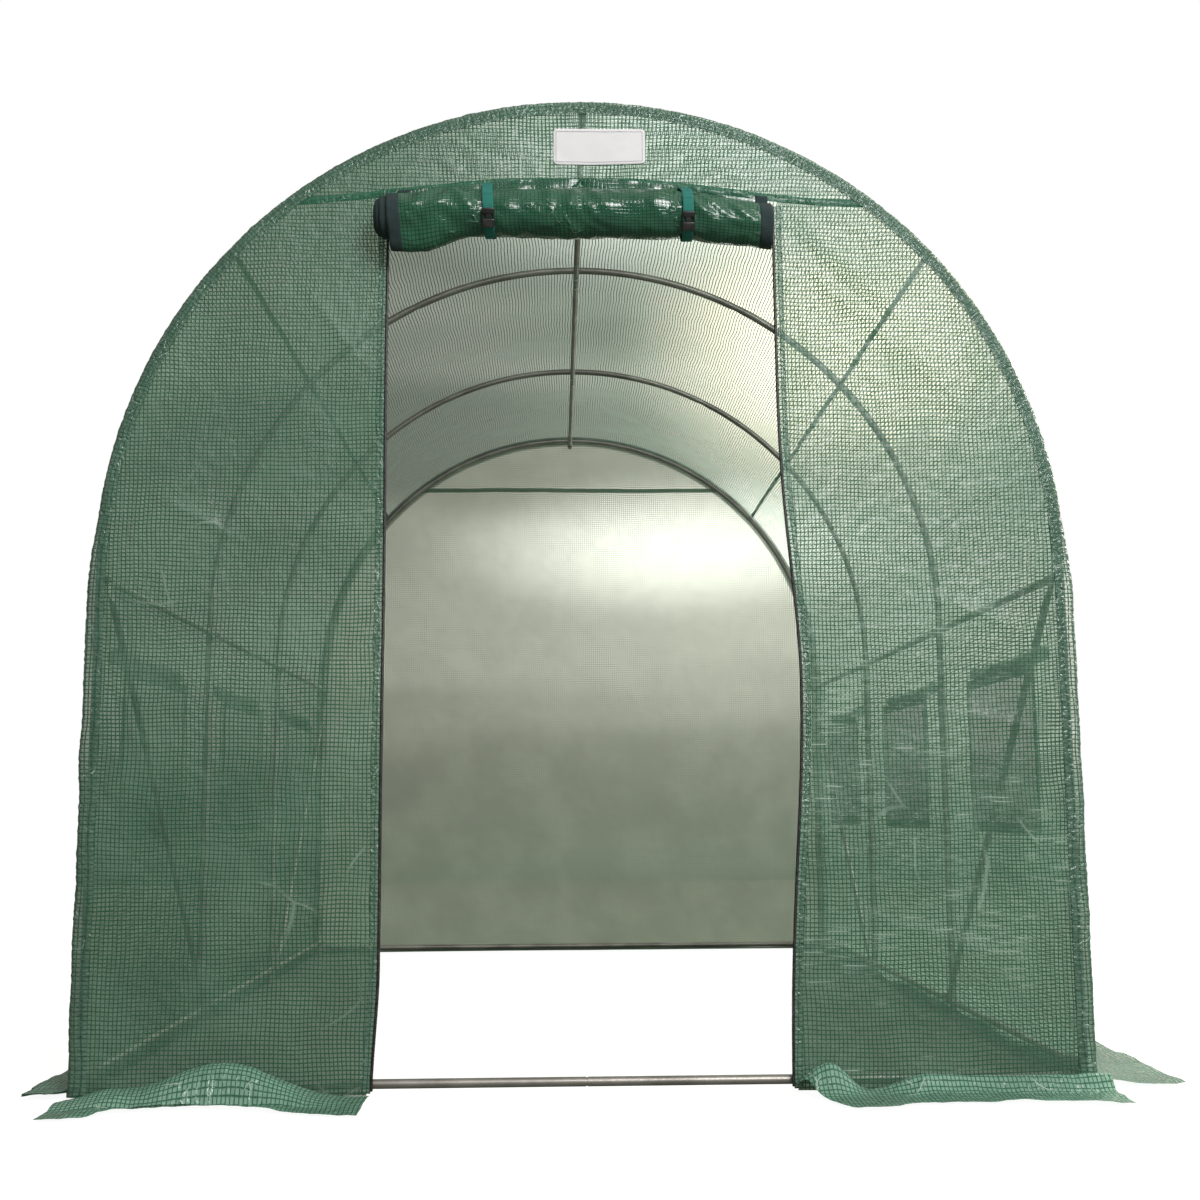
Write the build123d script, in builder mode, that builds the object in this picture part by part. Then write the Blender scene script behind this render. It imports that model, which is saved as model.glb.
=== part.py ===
from build123d import *
import os
from math import asin, cos, degrees, radians, sin, sqrt

# Walk-in polytunnel greenhouse: steel hoops, rails and braces under a sewn cover.
# X runs across the front, Y from the front to the back and Z up.
# The origin is at the centre of the floor plan, on the ground. Millimetres.

# Hoops
hoop_radius = 985.0  # centre line of the round top
spring_height = 1060.0  # the legs turn into the arch here
leg_joint_drop = 105.0  # the leg ends this far below, in the curved tube
crown_half_angle = 27.0  # the crown tube reaches this far to each side of the top
bay_length = 980.0
bay_count = 3
hoop_tube = 19.0
hoop_wall = 1.0

# Rails, braces and ridge
rail_tube = 16.0
rail_wall = 0.8
rail_drop = 38.0  # the side rails lie this far below the spring line
ground_rail_height = 48.0
end_bar_height = 22.0
ridge_joint_set_back = 55.0  # a ridge joint lies this far behind its hoop

# Tube sections are drawn with this many flats, and their size is across the flats
tube_sides = 8

# Joints between tubes
spigot_length = 42.0
spigot_neck = 3.0
slide_gap = 0.3
pressed_length = 34.0  # flat part of a pressed end, past its bolt
pressed_lap = 8.0  # flat part in front of the bolt
pressed_width = 24.0
pressed_edge_cut = 0.8
press_taper = 30.0
bolt_hole = 6.5

# Cover
sheet = 2.0
edge_thickness = 3.0  # doubled film at hems, seams and zips
seat_gap = 0.3
roof_seam_angle = 48.0
seam_width = 18.0
front_seam_drop = 175.0  # from the hoops' centre line at the top
back_seam_drop = 205.0
end_seam_width = 12.0
hem_ground_gap = 6.0

# Doorway and its rolled curtain
door_left = -424.0
door_right = 405.0
zip_width = 20.0
curtain_roll_drop = 95.0  # from the seam to the roll's centre
curtain_roll_radius = 55.0
curtain_roll_core = 20.0
curtain_roll_turns = 2
curtain_left = -391.0
curtain_right = 393.0
curtain_seam_lap = 2.0
edge_tape_width = 26.0
edge_tape = 4.0
edge_tape_pitch = 9.0  # step inward in each half turn
edge_tape_turns = 2
edge_tape_slip = 24.0
tie_places = (-195.0, 215.0)
tie_width = 22.0
tie_thickness = 1.5
buckle_length = 34.0
buckle_width = 30.0
buckle_thickness = 7.0
buckle_corner_cut = 5.0
buckle_drop = 17.0
label_left = -62.0
label_width = 196.0
label_rise = 46.0  # above the seam
label_height = 77.0

# Windows, one in each bay of each side
window_width = 500.0
window_height = 330.0
window_sill = 515.0
window_tape = 24.0
net = 1.2
flap_roll_radius = 20.0
flap_roll_rise = 22.0  # from the window's top edge to the roll's centre
flap_hang = 35.0
flap_overlap = 12.0

# Skirts that lie on the ground
side_skirt = 215.0
end_skirt = 200.0
skirt_thickness = 3.0

# Places worked out from the driving dimensions
leg_joint_height = spring_height - leg_joint_drop
rail_height = spring_height - rail_drop
wall_top = spring_height + hoop_radius
front_seam_height = wall_top - front_seam_drop
back_seam_height = wall_top - back_seam_drop
curtain_roll_height = front_seam_height - curtain_roll_drop
curtain_top = front_seam_height - curtain_seam_lap
label_bottom = front_seam_height + label_rise
flap_roll_height = window_sill + window_height + flap_roll_rise
length = bay_length * bay_count
front_y = -length / 2
back_y = length / 2
hoop_outer = hoop_tube / 2
cover_inner = hoop_radius + hoop_outer + seat_gap
cover_outer = cover_inner + sheet
front_inner_y = front_y - hoop_outer - seat_gap
front_outer_y = front_inner_y - sheet
hoop_names = ["front"] + ["second", "third", "fourth", "fifth"][: bay_count - 1] + ["back"]
hoop_places = [front_y + index * bay_length for index in range(bay_count + 1)]
shoulder_end_angle = 90.0 - crown_half_angle
pressed_thickness = 2 * rail_wall + 0.4
lap_step = pressed_thickness + slide_gap
first_lap = hoop_radius - hoop_outer - seat_gap - pressed_thickness / 2
second_lap = first_lap - lap_step
third_lap = second_lap - lap_step

half_side = 180 / tube_sides

os.makedirs("parts", exist_ok=True)


def save(piece, name):
    """Label a finished piece and write it to its own file."""
    piece.part.label = name
    export_step(piece.part, f"parts/{name}.step")


def section(diameter, wall=None):
    """Draw a tube's section in the open sketch, with a bore if it has a wall."""
    flats = {"side_count": tube_sides, "major_radius": False, "rotation": half_side}
    RegularPolygon(diameter / 2, **flats)
    if wall is not None:
        RegularPolygon(diameter / 2 - wall, **flats, mode=Mode.SUBTRACT)


def plain_tube(diameter, wall, tube_length):
    """A straight open tube along Z."""
    with BuildPart() as tube:
        with BuildSketch():
            section(diameter, wall)
        extrude(amount=tube_length)
    return tube.part


def swaged_tube(diameter, wall, tube_length):
    """A straight tube along Z whose top end is drawn down to slide into the next tube."""
    spigot = diameter - 2 * wall - 2 * slide_gap
    with BuildPart() as tube:
        with BuildSketch():
            section(diameter, wall)
        extrude(amount=tube_length)
        with BuildSketch(Plane.XY.offset(tube_length - spigot_neck)):
            section(diameter, (diameter - spigot) / 2 + wall)
        extrude(amount=spigot_neck)
        with BuildSketch(Plane.XY.offset(tube_length)):
            section(spigot, wall)
        extrude(amount=spigot_neck + spigot_length)
    return tube.part


def arch_plane(angle):
    """A plane across the arch, at this angle up from its right foot."""
    turn = radians(angle)
    return Plane(
        origin=(hoop_radius * cos(turn), 0, spring_height + hoop_radius * sin(turn)),
        x_dir=(cos(turn), 0, sin(turn)),
        z_dir=(-sin(turn), 0, cos(turn)),
    )


arch_axis = Axis((0, 0, spring_height), (0, -1, 0))
hoop_spigot = hoop_tube - 2 * hoop_wall - 2 * slide_gap
neck_angle = degrees(spigot_neck / hoop_radius)
socket_angle = degrees((spigot_length + 2 * spigot_neck) / hoop_radius)


def pressed_tube(diameter, wall, tube_length, first_shift, last_shift=None, spigot=False):
    """A tube along X. An end with a shift is pressed flat and drilled for a bolt.

    The shift moves the flat part along Y. The bolts are at 0 and at the tube's length.
    """
    round_start = pressed_length + press_taper
    round_end = tube_length - round_start if last_shift is not None else tube_length
    ends = [(0.0, 1, first_shift)]
    if last_shift is not None:
        ends.append((tube_length, -1, last_shift))
    with BuildPart() as tube:
        with BuildSketch(Plane.YZ.offset(round_start)):
            section(diameter, wall)
        extrude(amount=round_end - round_start)
        for bolt_x, way, shift in ends:
            round_centre = bolt_x + way * (pressed_width / 2 - pressed_lap)
            flat_end = bolt_x + way * pressed_length
            with BuildSketch(Plane.XZ.offset(-shift - pressed_thickness / 2)):
                with Locations((round_centre, 0)):
                    section(pressed_width)
                with Locations(((round_centre + flat_end) / 2, 0)):
                    Rectangle(abs(flat_end - round_centre), pressed_width)
                with Locations((bolt_x, 0)):
                    RegularPolygon(bolt_hole / 2, 6, major_radius=False, mode=Mode.SUBTRACT)
            extrude(amount=pressed_thickness)
            with BuildSketch(Plane.YZ.offset(flat_end)) as flattened:
                with Locations((shift, 0)):
                    Rectangle(pressed_thickness, pressed_width)
                chamfer(flattened.vertices(), length=pressed_edge_cut)
            with BuildSketch(Plane.YZ.offset(bolt_x + way * round_start)):
                section(diameter)
            loft(ruled=True)
        if spigot:
            spigot_size = diameter - 2 * wall - 2 * slide_gap
            with BuildSketch(Plane.YZ.offset(round_end - spigot_neck)):
                section(diameter, (diameter - spigot_size) / 2 + wall)
            extrude(amount=spigot_neck)
            with BuildSketch(Plane.YZ.offset(round_end)):
                section(spigot_size, wall)
            extrude(amount=spigot_neck + spigot_length)
    return tube.part


def laid_along(start, end, outward):
    """The plane that lays a tube made along X from start to end, its Y side outward."""
    run = Vector(*end) - Vector(*start)
    return Plane(origin=start, x_dir=run, z_dir=run.cross(Vector(*outward)))


# Hoops
leg = swaged_tube(hoop_tube, hoop_wall, leg_joint_height)
socket_foot = leg_joint_height + spigot_neck

with BuildPart() as right_shoulder:
    with BuildSketch(Plane.XY.offset(socket_foot)):
        with Locations((hoop_radius, 0)):
            section(hoop_tube, hoop_wall)
    extrude(amount=spigot_neck + spigot_length)
    with BuildSketch(Plane.XY.offset(socket_foot + spigot_neck + spigot_length)):
        with Locations((hoop_radius, 0)):
            section(hoop_tube)
    extrude(amount=spring_height - socket_foot - spigot_neck - spigot_length)
    with BuildSketch(arch_plane(0)):
        section(hoop_tube)
    revolve(axis=arch_axis, revolution_arc=shoulder_end_angle)
    with BuildSketch(arch_plane(shoulder_end_angle)):
        section(hoop_spigot)
    revolve(axis=arch_axis, revolution_arc=neck_angle + socket_angle)

with BuildPart() as crown:
    with BuildSketch(arch_plane(shoulder_end_angle + neck_angle)):
        section(hoop_tube)
    revolve(axis=arch_axis, revolution_arc=2 * (crown_half_angle - neck_angle))
    with BuildSketch(arch_plane(shoulder_end_angle + neck_angle)):
        section(hoop_tube - 2 * hoop_wall)
    revolve(axis=arch_axis, revolution_arc=socket_angle + neck_angle, mode=Mode.SUBTRACT)
    mirror(about=Plane.YZ, mode=Mode.INTERSECT)

left_shoulder = mirror(right_shoulder.part, about=Plane.YZ)

for hoop_name, hoop_y in zip(hoop_names, hoop_places):
    with BuildPart() as legs:
        with Locations((-hoop_radius, hoop_y, 0), (hoop_radius, hoop_y, 0)):
            add(leg)
    save(legs, f"{hoop_name}_hoop_legs")
    with BuildPart() as shoulder_tubes:
        with Locations((0, hoop_y, 0)):
            add(right_shoulder.part)
            add(left_shoulder)
    save(shoulder_tubes, f"{hoop_name}_hoop_shoulder_tubes")
    with BuildPart() as crown_tube:
        with Locations((0, hoop_y, 0)):
            add(crown.part)
    save(crown_tube, f"{hoop_name}_hoop_crown_tube")

# Ridge, under the crowns
ridge_height = spring_height + hoop_radius - hoop_outer - seat_gap - rail_tube / 2
ridge_joints = [place + ridge_joint_set_back for place in hoop_places[1:-1]]
ridge_starts = [front_y - hoop_outer + seat_gap] + ridge_joints
ridge_ends = ridge_joints + [back_y + hoop_outer - seat_gap]

for number, (start_y, end_y) in enumerate(zip(ridge_starts, ridge_ends), start=1):
    last_start = start_y + spigot_neck if number > 1 else start_y
    with BuildPart() as ridge_tube:
        if number == 1:
            with Locations(Plane((0, start_y, ridge_height), x_dir=(1, 0, 0), z_dir=(0, 1, 0))):
                add(plain_tube(rail_tube, rail_wall, end_y - start_y))
        else:
            with Locations(Plane((0, end_y, ridge_height), x_dir=(1, 0, 0), z_dir=(0, -1, 0))):
                add(swaged_tube(rail_tube, rail_wall, end_y - last_start))
    save(ridge_tube, f"ridge_tube_{number}")

# Side rails at hip height and on the ground, one for each bay
sides = {"left": -1, "right": 1}
middle_bay = (bay_count - 1) / 2

for side_name, side in sides.items():
    for rail_name, height in (("side_rails", rail_height), ("ground_rails", ground_rail_height)):
        with BuildPart() as rails:
            for bay in range(bay_count):
                front_lap = first_lap if bay <= middle_bay else second_lap
                rear_lap = first_lap if bay >= middle_bay else second_lap
                centre = (front_lap + rear_lap) / 2
                rail = pressed_tube(
                    rail_tube, rail_wall, bay_length, front_lap - centre, rear_lap - centre
                )
                start = (side * centre, hoop_places[bay], height)
                end = (side * centre, hoop_places[bay + 1], height)
                with Locations(laid_along(start, end, (side, 0, 0))):
                    add(rail)
        save(rails, f"{side_name}_{rail_name}")

# Corner braces, from the end hoops at rail height to the feet of the next hoops
brace_centre = (second_lap + third_lap) / 2
brace_reach = sqrt(bay_length**2 + (rail_height - ground_rail_height) ** 2)
brace = pressed_tube(rail_tube, rail_wall, brace_reach, lap_step / 2, -lap_step / 2)

for end_name, top_y, foot_y in (
    ("front", hoop_places[0], hoop_places[1]),
    ("back", hoop_places[-1], hoop_places[-2]),
):
    with BuildPart() as braces:
        for side in sides.values():
            top = (side * brace_centre, top_y, rail_height)
            foot = (side * brace_centre, foot_y, ground_rail_height)
            with Locations(laid_along(top, foot, (side, 0, 0))):
                add(brace)
    save(braces, f"{end_name}_corner_braces")

# Bars on the ground across both ends, each of two tubes joined at the middle
end_bar_set_back = hoop_outer + seat_gap + pressed_thickness / 2
half_bar_plain = pressed_tube(hoop_tube, hoop_wall, hoop_radius - spigot_neck, 0.0)
half_bar_spigot = pressed_tube(hoop_tube, hoop_wall, hoop_radius, 0.0, spigot=True)

for end_name, end_y, inward in (("front", front_y, 1), ("back", back_y, -1)):
    bar_y = end_y + inward * end_bar_set_back
    with BuildPart() as end_bar:
        for side, half_bar in ((-1, half_bar_spigot), (1, half_bar_plain)):
            start = (side * hoop_radius, bar_y, end_bar_height)
            end = (0, bar_y, end_bar_height)
            with Locations(laid_along(start, end, (0, -inward, 0))):
                add(half_bar)
    save(end_bar, f"{end_name}_ground_bar")

# Cover over the hoops
seam_turn = degrees(seam_width / 2 / cover_outer)
cover_axis = Axis((0, front_y, spring_height), (0, -1, 0))


def cover_arc(angle, turn, thickness):
    """A curved strip of cover over the whole length, from an angle up from the right foot."""
    start = radians(angle)
    across = Plane(
        origin=(cover_inner * cos(start), front_y, spring_height + cover_inner * sin(start)),
        x_dir=(cos(start), 0, sin(start)),
        z_dir=(-sin(start), 0, cos(start)),
    )
    with BuildPart() as strip:
        with BuildSketch(across):
            Rectangle(thickness, length, align=(Align.MIN, Align.MIN))
        revolve(axis=cover_axis, revolution_arc=turn)
    return strip.part


seam_low = 90 - roof_seam_angle - seam_turn
seam_high = 90 - roof_seam_angle + seam_turn

with BuildPart() as cover_roof:
    add(cover_arc(seam_high, 180 - 2 * seam_high, sheet))
save(cover_roof, "cover_roof")

with BuildPart() as roof_seams:
    add(cover_arc(seam_low, seam_high - seam_low, edge_thickness))
    add(cover_arc(180 - seam_high, seam_high - seam_low, edge_thickness))
save(roof_seams, "roof_seams")

with BuildPart() as cover_right_shoulder:
    add(cover_arc(0, seam_low, sheet))
save(cover_right_shoulder, "cover_right_shoulder")

with BuildPart() as cover_left_shoulder:
    add(cover_arc(180 - seam_low, seam_low, sheet))
save(cover_left_shoulder, "cover_left_shoulder")

# Side walls, their windows and the rolled flaps over them
window_middle = window_sill + window_height / 2
tape_width = window_width + 2 * window_tape
tape_height = window_height + 2 * window_tape
bay_middles = [place + bay_length / 2 for place in hoop_places[:-1]]
window_spots = [(bay_y, window_middle) for bay_y in bay_middles]

with BuildSketch() as flap_section:
    Circle(flap_roll_radius)
    with Locations((flap_roll_radius - net / 2, flap_hang / 2)):
        Rectangle(net, flap_hang)

for side_name, side in sides.items():
    wall_face = Plane.YZ.offset(side * cover_inner)
    with BuildPart() as wall:
        with BuildSketch(wall_face):
            with Locations((0, spring_height / 2)):
                Rectangle(length, spring_height)
            with Locations(*window_spots):
                Rectangle(tape_width, tape_height, mode=Mode.SUBTRACT)
        extrude(amount=side * sheet)
    save(wall, f"cover_{side_name}_wall")

    with BuildPart() as window_tapes:
        with BuildSketch(wall_face):
            with Locations(*window_spots):
                Rectangle(tape_width, tape_height)
                Rectangle(window_width, window_height, mode=Mode.SUBTRACT)
        extrude(amount=side * edge_thickness)
    save(window_tapes, f"{side_name}_window_tapes")

    with BuildPart() as window_nets:
        with BuildSketch(wall_face):
            with Locations(*window_spots):
                Rectangle(window_width, window_height)
        extrude(amount=side * net)
    save(window_nets, f"{side_name}_window_nets")

    flap_x = side * (cover_inner + edge_thickness + seat_gap + flap_roll_radius)
    flap_width = window_width + 2 * flap_overlap
    with BuildPart() as window_flaps:
        for bay_y in bay_middles:
            flap_plane = Plane(
                origin=(flap_x, bay_y - side * flap_width / 2, flap_roll_height),
                x_dir=(-side, 0, 0),
                z_dir=(0, side, 0),
            )
            with BuildSketch(flap_plane):
                add(flap_section.sketch)
            extrude(amount=flap_width)
    save(window_flaps, f"{side_name}_window_flaps")

# End walls
front_face = Plane.XZ.offset(-front_inner_y)
back_face = Plane.XZ.offset(front_inner_y)


def end_sheet(left, right, bottom, top):
    """The part of an end wall's outline that lies between these limits."""
    with BuildSketch() as outline:
        with Locations((0, spring_height / 2)):
            Rectangle(2 * hoop_radius, spring_height)
        with Locations((0, spring_height)):
            Circle(hoop_radius)
        with Locations(((left + right) / 2, (bottom + top) / 2)):
            Rectangle(right - left, top - bottom, mode=Mode.INTERSECT)
    return outline.sketch


front_seam_bottom = front_seam_height - end_seam_width / 2
front_seam_top = front_seam_height + end_seam_width / 2
back_seam_bottom = back_seam_height - end_seam_width / 2
back_seam_top = back_seam_height + end_seam_width / 2
zip_left = door_left - zip_width
zip_right = door_right + zip_width

for name, face, way, thickness, limits in (
    ("front_left_panel", front_face, 1, sheet, (-hoop_radius, zip_left, 0, front_seam_bottom)),
    ("front_right_panel", front_face, 1, sheet, (zip_right, hoop_radius, 0, front_seam_bottom)),
    ("front_top_panel", front_face, 1, sheet, (-hoop_radius, hoop_radius, front_seam_top, wall_top)),
    (
        "front_seam",
        front_face,
        1,
        edge_thickness,
        (-hoop_radius, hoop_radius, front_seam_bottom, front_seam_top),
    ),
    ("back_panel", back_face, -1, sheet, (-hoop_radius, hoop_radius, 0, back_seam_bottom)),
    ("back_top_panel", back_face, -1, sheet, (-hoop_radius, hoop_radius, back_seam_top, wall_top)),
    (
        "back_seam",
        back_face,
        -1,
        edge_thickness,
        (-hoop_radius, hoop_radius, back_seam_bottom, back_seam_top),
    ),
):
    with BuildPart() as end_piece:
        with BuildSketch(face):
            add(end_sheet(*limits))
        extrude(amount=way * thickness)
    save(end_piece, name)

# Hems, where the cover turns round the end hoops
hem_inner = hoop_outer + seat_gap
hem_outer = hem_inner + edge_thickness
hem_plane = Plane.XY.offset(spring_height).shift_origin((hoop_radius, front_y, spring_height))

with BuildPart() as front_hem:
    with BuildSketch(hem_plane) as hem_section:
        section(2 * hem_outer, edge_thickness)
        Rectangle(hem_outer, hem_outer, align=(Align.MIN, Align.MAX), mode=Mode.INTERSECT)
    revolve(axis=cover_axis, revolution_arc=180)
    extrude(hem_section.sketch, amount=-(spring_height - hem_ground_gap))
    extrude(
        mirror(hem_section.sketch, about=Plane.YZ, mode=Mode.PRIVATE),
        amount=-(spring_height - hem_ground_gap),
        dir=(0, 0, 1),
    )
save(front_hem, "front_hem")

with BuildPart() as back_hem:
    mirror(front_hem.part, about=Plane.XZ)
save(back_hem, "back_hem")

# Doorway zips and the rolled curtain
with BuildPart() as door_zips:
    with BuildSketch(front_face):
        with Locations(
            (door_left - zip_width / 2, front_seam_bottom / 2),
            (door_right + zip_width / 2, front_seam_bottom / 2),
        ):
            Rectangle(zip_width, front_seam_bottom)
    extrude(amount=edge_thickness)
save(door_zips, "door_zips")

curtain_y = front_inner_y - edge_thickness - seat_gap - curtain_roll_radius
curtain_drop = curtain_top - curtain_roll_height


def rolled_sheet(outer_radius, core_radius, turns, thickness, drop):
    """A rolled sheet in section, made of half circles, its free end running straight up.

    The roll's centre is at the origin and the straight part's outer face at the radius.
    """
    step = (outer_radius - core_radius) / (2 * turns)
    with BuildSketch() as section:
        with BuildLine():
            Line((outer_radius, 0), (outer_radius, drop))
            Line((outer_radius, drop), (outer_radius - thickness, drop))
            Line((outer_radius - thickness, drop), (outer_radius - thickness, 0))
            for half_turn in range(2 * turns):
                odd = half_turn % 2
                middle = (-step * odd, 0)
                radius = outer_radius - half_turn * step
                CenterArc(middle, radius, 180 * odd, -180)
                CenterArc(middle, radius - thickness, 180 * odd, -180)
            inner_end = radius - step
            Line((inner_end, 0), (inner_end - thickness, 0))
        make_face()
    return section.sketch


def across_door(start_x):
    """A plane across the curtain's roll, its X side towards the wall and its Y side up."""
    return Plane(origin=(start_x, curtain_y, curtain_roll_height), x_dir=(0, 1, 0), z_dir=(1, 0, 0))


with BuildPart() as door_curtain_roll:
    with BuildSketch(across_door(curtain_left)):
        add(rolled_sheet(curtain_roll_radius, curtain_roll_core, curtain_roll_turns, sheet, curtain_drop))
    extrude(amount=curtain_right - curtain_left)
save(door_curtain_roll, "door_curtain_roll")

# The zip tape on the curtain's edges winds up with it, and on the left its core slips outward
tape_core = curtain_roll_radius - 2 * edge_tape_turns * edge_tape_pitch
tape_section = rolled_sheet(
    curtain_roll_radius, tape_core, edge_tape_turns, edge_tape, curtain_drop
)
with BuildPart() as curtain_edge_tapes:
    for start_x in (curtain_left - edge_tape_width, curtain_right):
        with BuildSketch(across_door(start_x)):
            add(tape_section)
        extrude(amount=edge_tape_width)
    with BuildSketch(across_door(curtain_left - edge_tape_width - edge_tape_slip)):
        add(tape_section)
        Circle(curtain_roll_radius - 2 * edge_tape_pitch, mode=Mode.INTERSECT)
    extrude(amount=edge_tape_slip)
save(curtain_edge_tapes, "curtain_edge_tapes")

# Ties that hold the roll up, each sewn in under the seam and over it
tie_inner = curtain_roll_radius + seat_gap
tie_outer = tie_inner + tie_thickness
tie_top = front_seam_top - curtain_roll_height
tie_reach = sqrt(curtain_roll_radius**2 + tie_top**2)
tie_turn = degrees(asin(tie_top / tie_reach)) + 90 - degrees(asin(tie_outer / tie_reach))
tie_run = sqrt(tie_reach**2 - tie_outer**2) - tie_thickness / 2
tie_way = Vector(sin(radians(tie_turn)), -cos(radians(tie_turn)))
tie_side = Vector(cos(radians(tie_turn)), sin(radians(tie_turn)))
tie_back_top = front_seam_bottom - curtain_roll_height

with BuildSketch() as tie_section:
    with BuildLine():
        CenterArc((0, 0), tie_outer, tie_turn, 360 - tie_turn)
        CenterArc((0, 0), tie_inner, tie_turn, 360 - tie_turn)
        Line((tie_outer, 0), (tie_outer, tie_back_top))
        Line((tie_outer, tie_back_top), (tie_inner, tie_back_top))
        Line((tie_inner, tie_back_top), (tie_inner, 0))
        Line(tie_side * tie_outer, tie_side * tie_outer + tie_way * tie_run)
        Line(tie_side * tie_outer + tie_way * tie_run, tie_side * tie_inner + tie_way * tie_run)
        Line(tie_side * tie_inner + tie_way * tie_run, tie_side * tie_inner)
    make_face()

with BuildPart() as door_ties:
    for place in tie_places:
        with BuildSketch(across_door(place - tie_width / 2)):
            add(tie_section.sketch)
        extrude(amount=tie_width)
save(door_ties, "door_ties")

buckle_y = curtain_y - tie_outer - seat_gap
with BuildPart() as tie_buckles:
    with BuildSketch(Plane.XZ.offset(-buckle_y)) as buckle_outline:
        with Locations(*[(place, curtain_roll_height - buckle_drop) for place in tie_places]):
            Rectangle(buckle_width, buckle_length)
        chamfer(buckle_outline.vertices(), length=buckle_corner_cut)
    extrude(amount=buckle_thickness)
save(tie_buckles, "tie_buckles")

# Bare patch over the doorway
with BuildPart() as label_patch:
    with BuildSketch(Plane.XZ.offset(-front_outer_y)):
        with Locations((label_left + label_width / 2, label_bottom + label_height / 2)):
            Rectangle(label_width, label_height)
    extrude(amount=seat_gap + 0.7)
save(label_patch, "label_patch")

# Skirts on the ground all round, but for the doorway
with BuildPart() as right_skirt:
    with BuildSketch():
        with Locations((cover_outer + side_skirt / 2, 0)):
            Rectangle(side_skirt, length)
    extrude(amount=skirt_thickness)
save(right_skirt, "right_skirt")

with BuildPart() as left_skirt:
    mirror(right_skirt.part, about=Plane.YZ)
save(left_skirt, "left_skirt")

with BuildPart() as back_skirt:
    with BuildSketch():
        with Locations((0, -front_outer_y + end_skirt / 2)):
            Rectangle(2 * hoop_radius, end_skirt)
    extrude(amount=skirt_thickness)
save(back_skirt, "back_skirt")

for side_name, inner, outer in (
    ("left", zip_left, -hoop_radius),
    ("right", zip_right, hoop_radius),
):
    with BuildPart() as front_skirt:
        with BuildSketch():
            with Locations(((inner + outer) / 2, front_outer_y - end_skirt / 2)):
                Rectangle(abs(outer - inner), end_skirt)
        extrude(amount=skirt_thickness)
    save(front_skirt, f"front_{side_name}_skirt")
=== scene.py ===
# %% [markdown]
# A walk-in polytunnel: round steel hoops under a sewn cover of green film with a grid of
# darker threads laminated in. The steel is already right in the frame, so this lesson is
# mostly about thin film: how to cut it flat, hang it over hoops, crease it and light it.

# %% Load the frame
from math import atan2, cos, exp, hypot, pi, radians, sin, sqrt, tau

import bmesh
import bpy
from mathutils import Matrix, Vector, noise


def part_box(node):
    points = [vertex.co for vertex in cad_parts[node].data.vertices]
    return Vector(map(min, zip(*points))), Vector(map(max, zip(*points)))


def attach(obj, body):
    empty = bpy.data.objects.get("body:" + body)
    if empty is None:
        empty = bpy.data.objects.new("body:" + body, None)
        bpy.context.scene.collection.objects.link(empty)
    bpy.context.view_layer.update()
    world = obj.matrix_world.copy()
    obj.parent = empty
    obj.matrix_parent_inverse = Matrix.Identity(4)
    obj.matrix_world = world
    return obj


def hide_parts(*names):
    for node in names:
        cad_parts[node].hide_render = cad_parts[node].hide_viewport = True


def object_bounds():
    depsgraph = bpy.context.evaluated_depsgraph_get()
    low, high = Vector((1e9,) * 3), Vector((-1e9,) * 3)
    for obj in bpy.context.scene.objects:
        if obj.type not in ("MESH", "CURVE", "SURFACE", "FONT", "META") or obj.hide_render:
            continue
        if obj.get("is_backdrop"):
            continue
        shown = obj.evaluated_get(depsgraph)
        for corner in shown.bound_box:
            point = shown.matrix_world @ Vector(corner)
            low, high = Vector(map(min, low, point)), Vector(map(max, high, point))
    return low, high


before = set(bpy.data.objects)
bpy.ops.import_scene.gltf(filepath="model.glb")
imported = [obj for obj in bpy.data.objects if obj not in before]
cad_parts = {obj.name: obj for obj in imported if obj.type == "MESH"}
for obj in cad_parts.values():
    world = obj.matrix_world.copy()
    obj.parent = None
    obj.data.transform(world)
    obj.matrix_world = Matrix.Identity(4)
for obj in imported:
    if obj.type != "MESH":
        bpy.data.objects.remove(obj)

cad_low, cad_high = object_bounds()
print("nodes in the frame:", len(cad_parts))

# %% [markdown]
# Every size comes from the frame, so that a film lands on the hoop that carries it. A hoop is
# two straight legs and a half circle, which three numbers describe: the radius of its centre
# line, the height where the legs end, and the tube's diameter.

# %% Sizes of the frame
leg_low, leg_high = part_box("front_hoop_legs")
hoop_tube = leg_high.y - leg_low.y
hoop_radius = leg_high.x - hoop_tube / 2
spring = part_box("front_hoop_crown_tube")[1].z - hoop_tube / 2 - hoop_radius
hoop_names = ("front", "second", "third", "back")
hoop_places = [sum(corner.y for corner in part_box(f"{name}_hoop_legs")) / 2 for name in hoop_names]
front_y, back_y = hoop_places[0], hoop_places[-1]
bay = hoop_places[1] - hoop_places[0]
run_length = back_y - front_y
cover_gap, wall_gap = 0.0013, 0.001
film_radius = hoop_radius + hoop_tube / 2 + cover_gap
front_film_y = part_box("front_left_panel")[0].y + wall_gap
back_film_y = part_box("back_panel")[1].y - wall_gap
print(f"hoops: radius {hoop_radius:.3f}, legs {spring:.3f}, bay {bay:.3f}")

# %% [markdown]
# The camera stands low in front of the doorway, a little left of the middle, and looks up. Its
# place and angles were fitted to the four hoops of the photograph. A matrix made of its right,
# up and back directions sets the turn without any doubt about the order of angles.

# %% The camera
frame_pixels = 1200
focal_pixels = 1492.85
camera_place = (-0.0585, -4.5027, 0.5572)
yaw, pitch, roll = 0.0297, 0.1379, -0.0067
look = Vector((sin(yaw) * cos(pitch), cos(yaw) * cos(pitch), sin(pitch)))
level_right = Vector((cos(yaw), -sin(yaw), 0))
level_up = level_right.cross(look)
camera_right = level_right * cos(roll) + level_up * sin(roll)
camera_up = level_up * cos(roll) - level_right * sin(roll)

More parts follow.
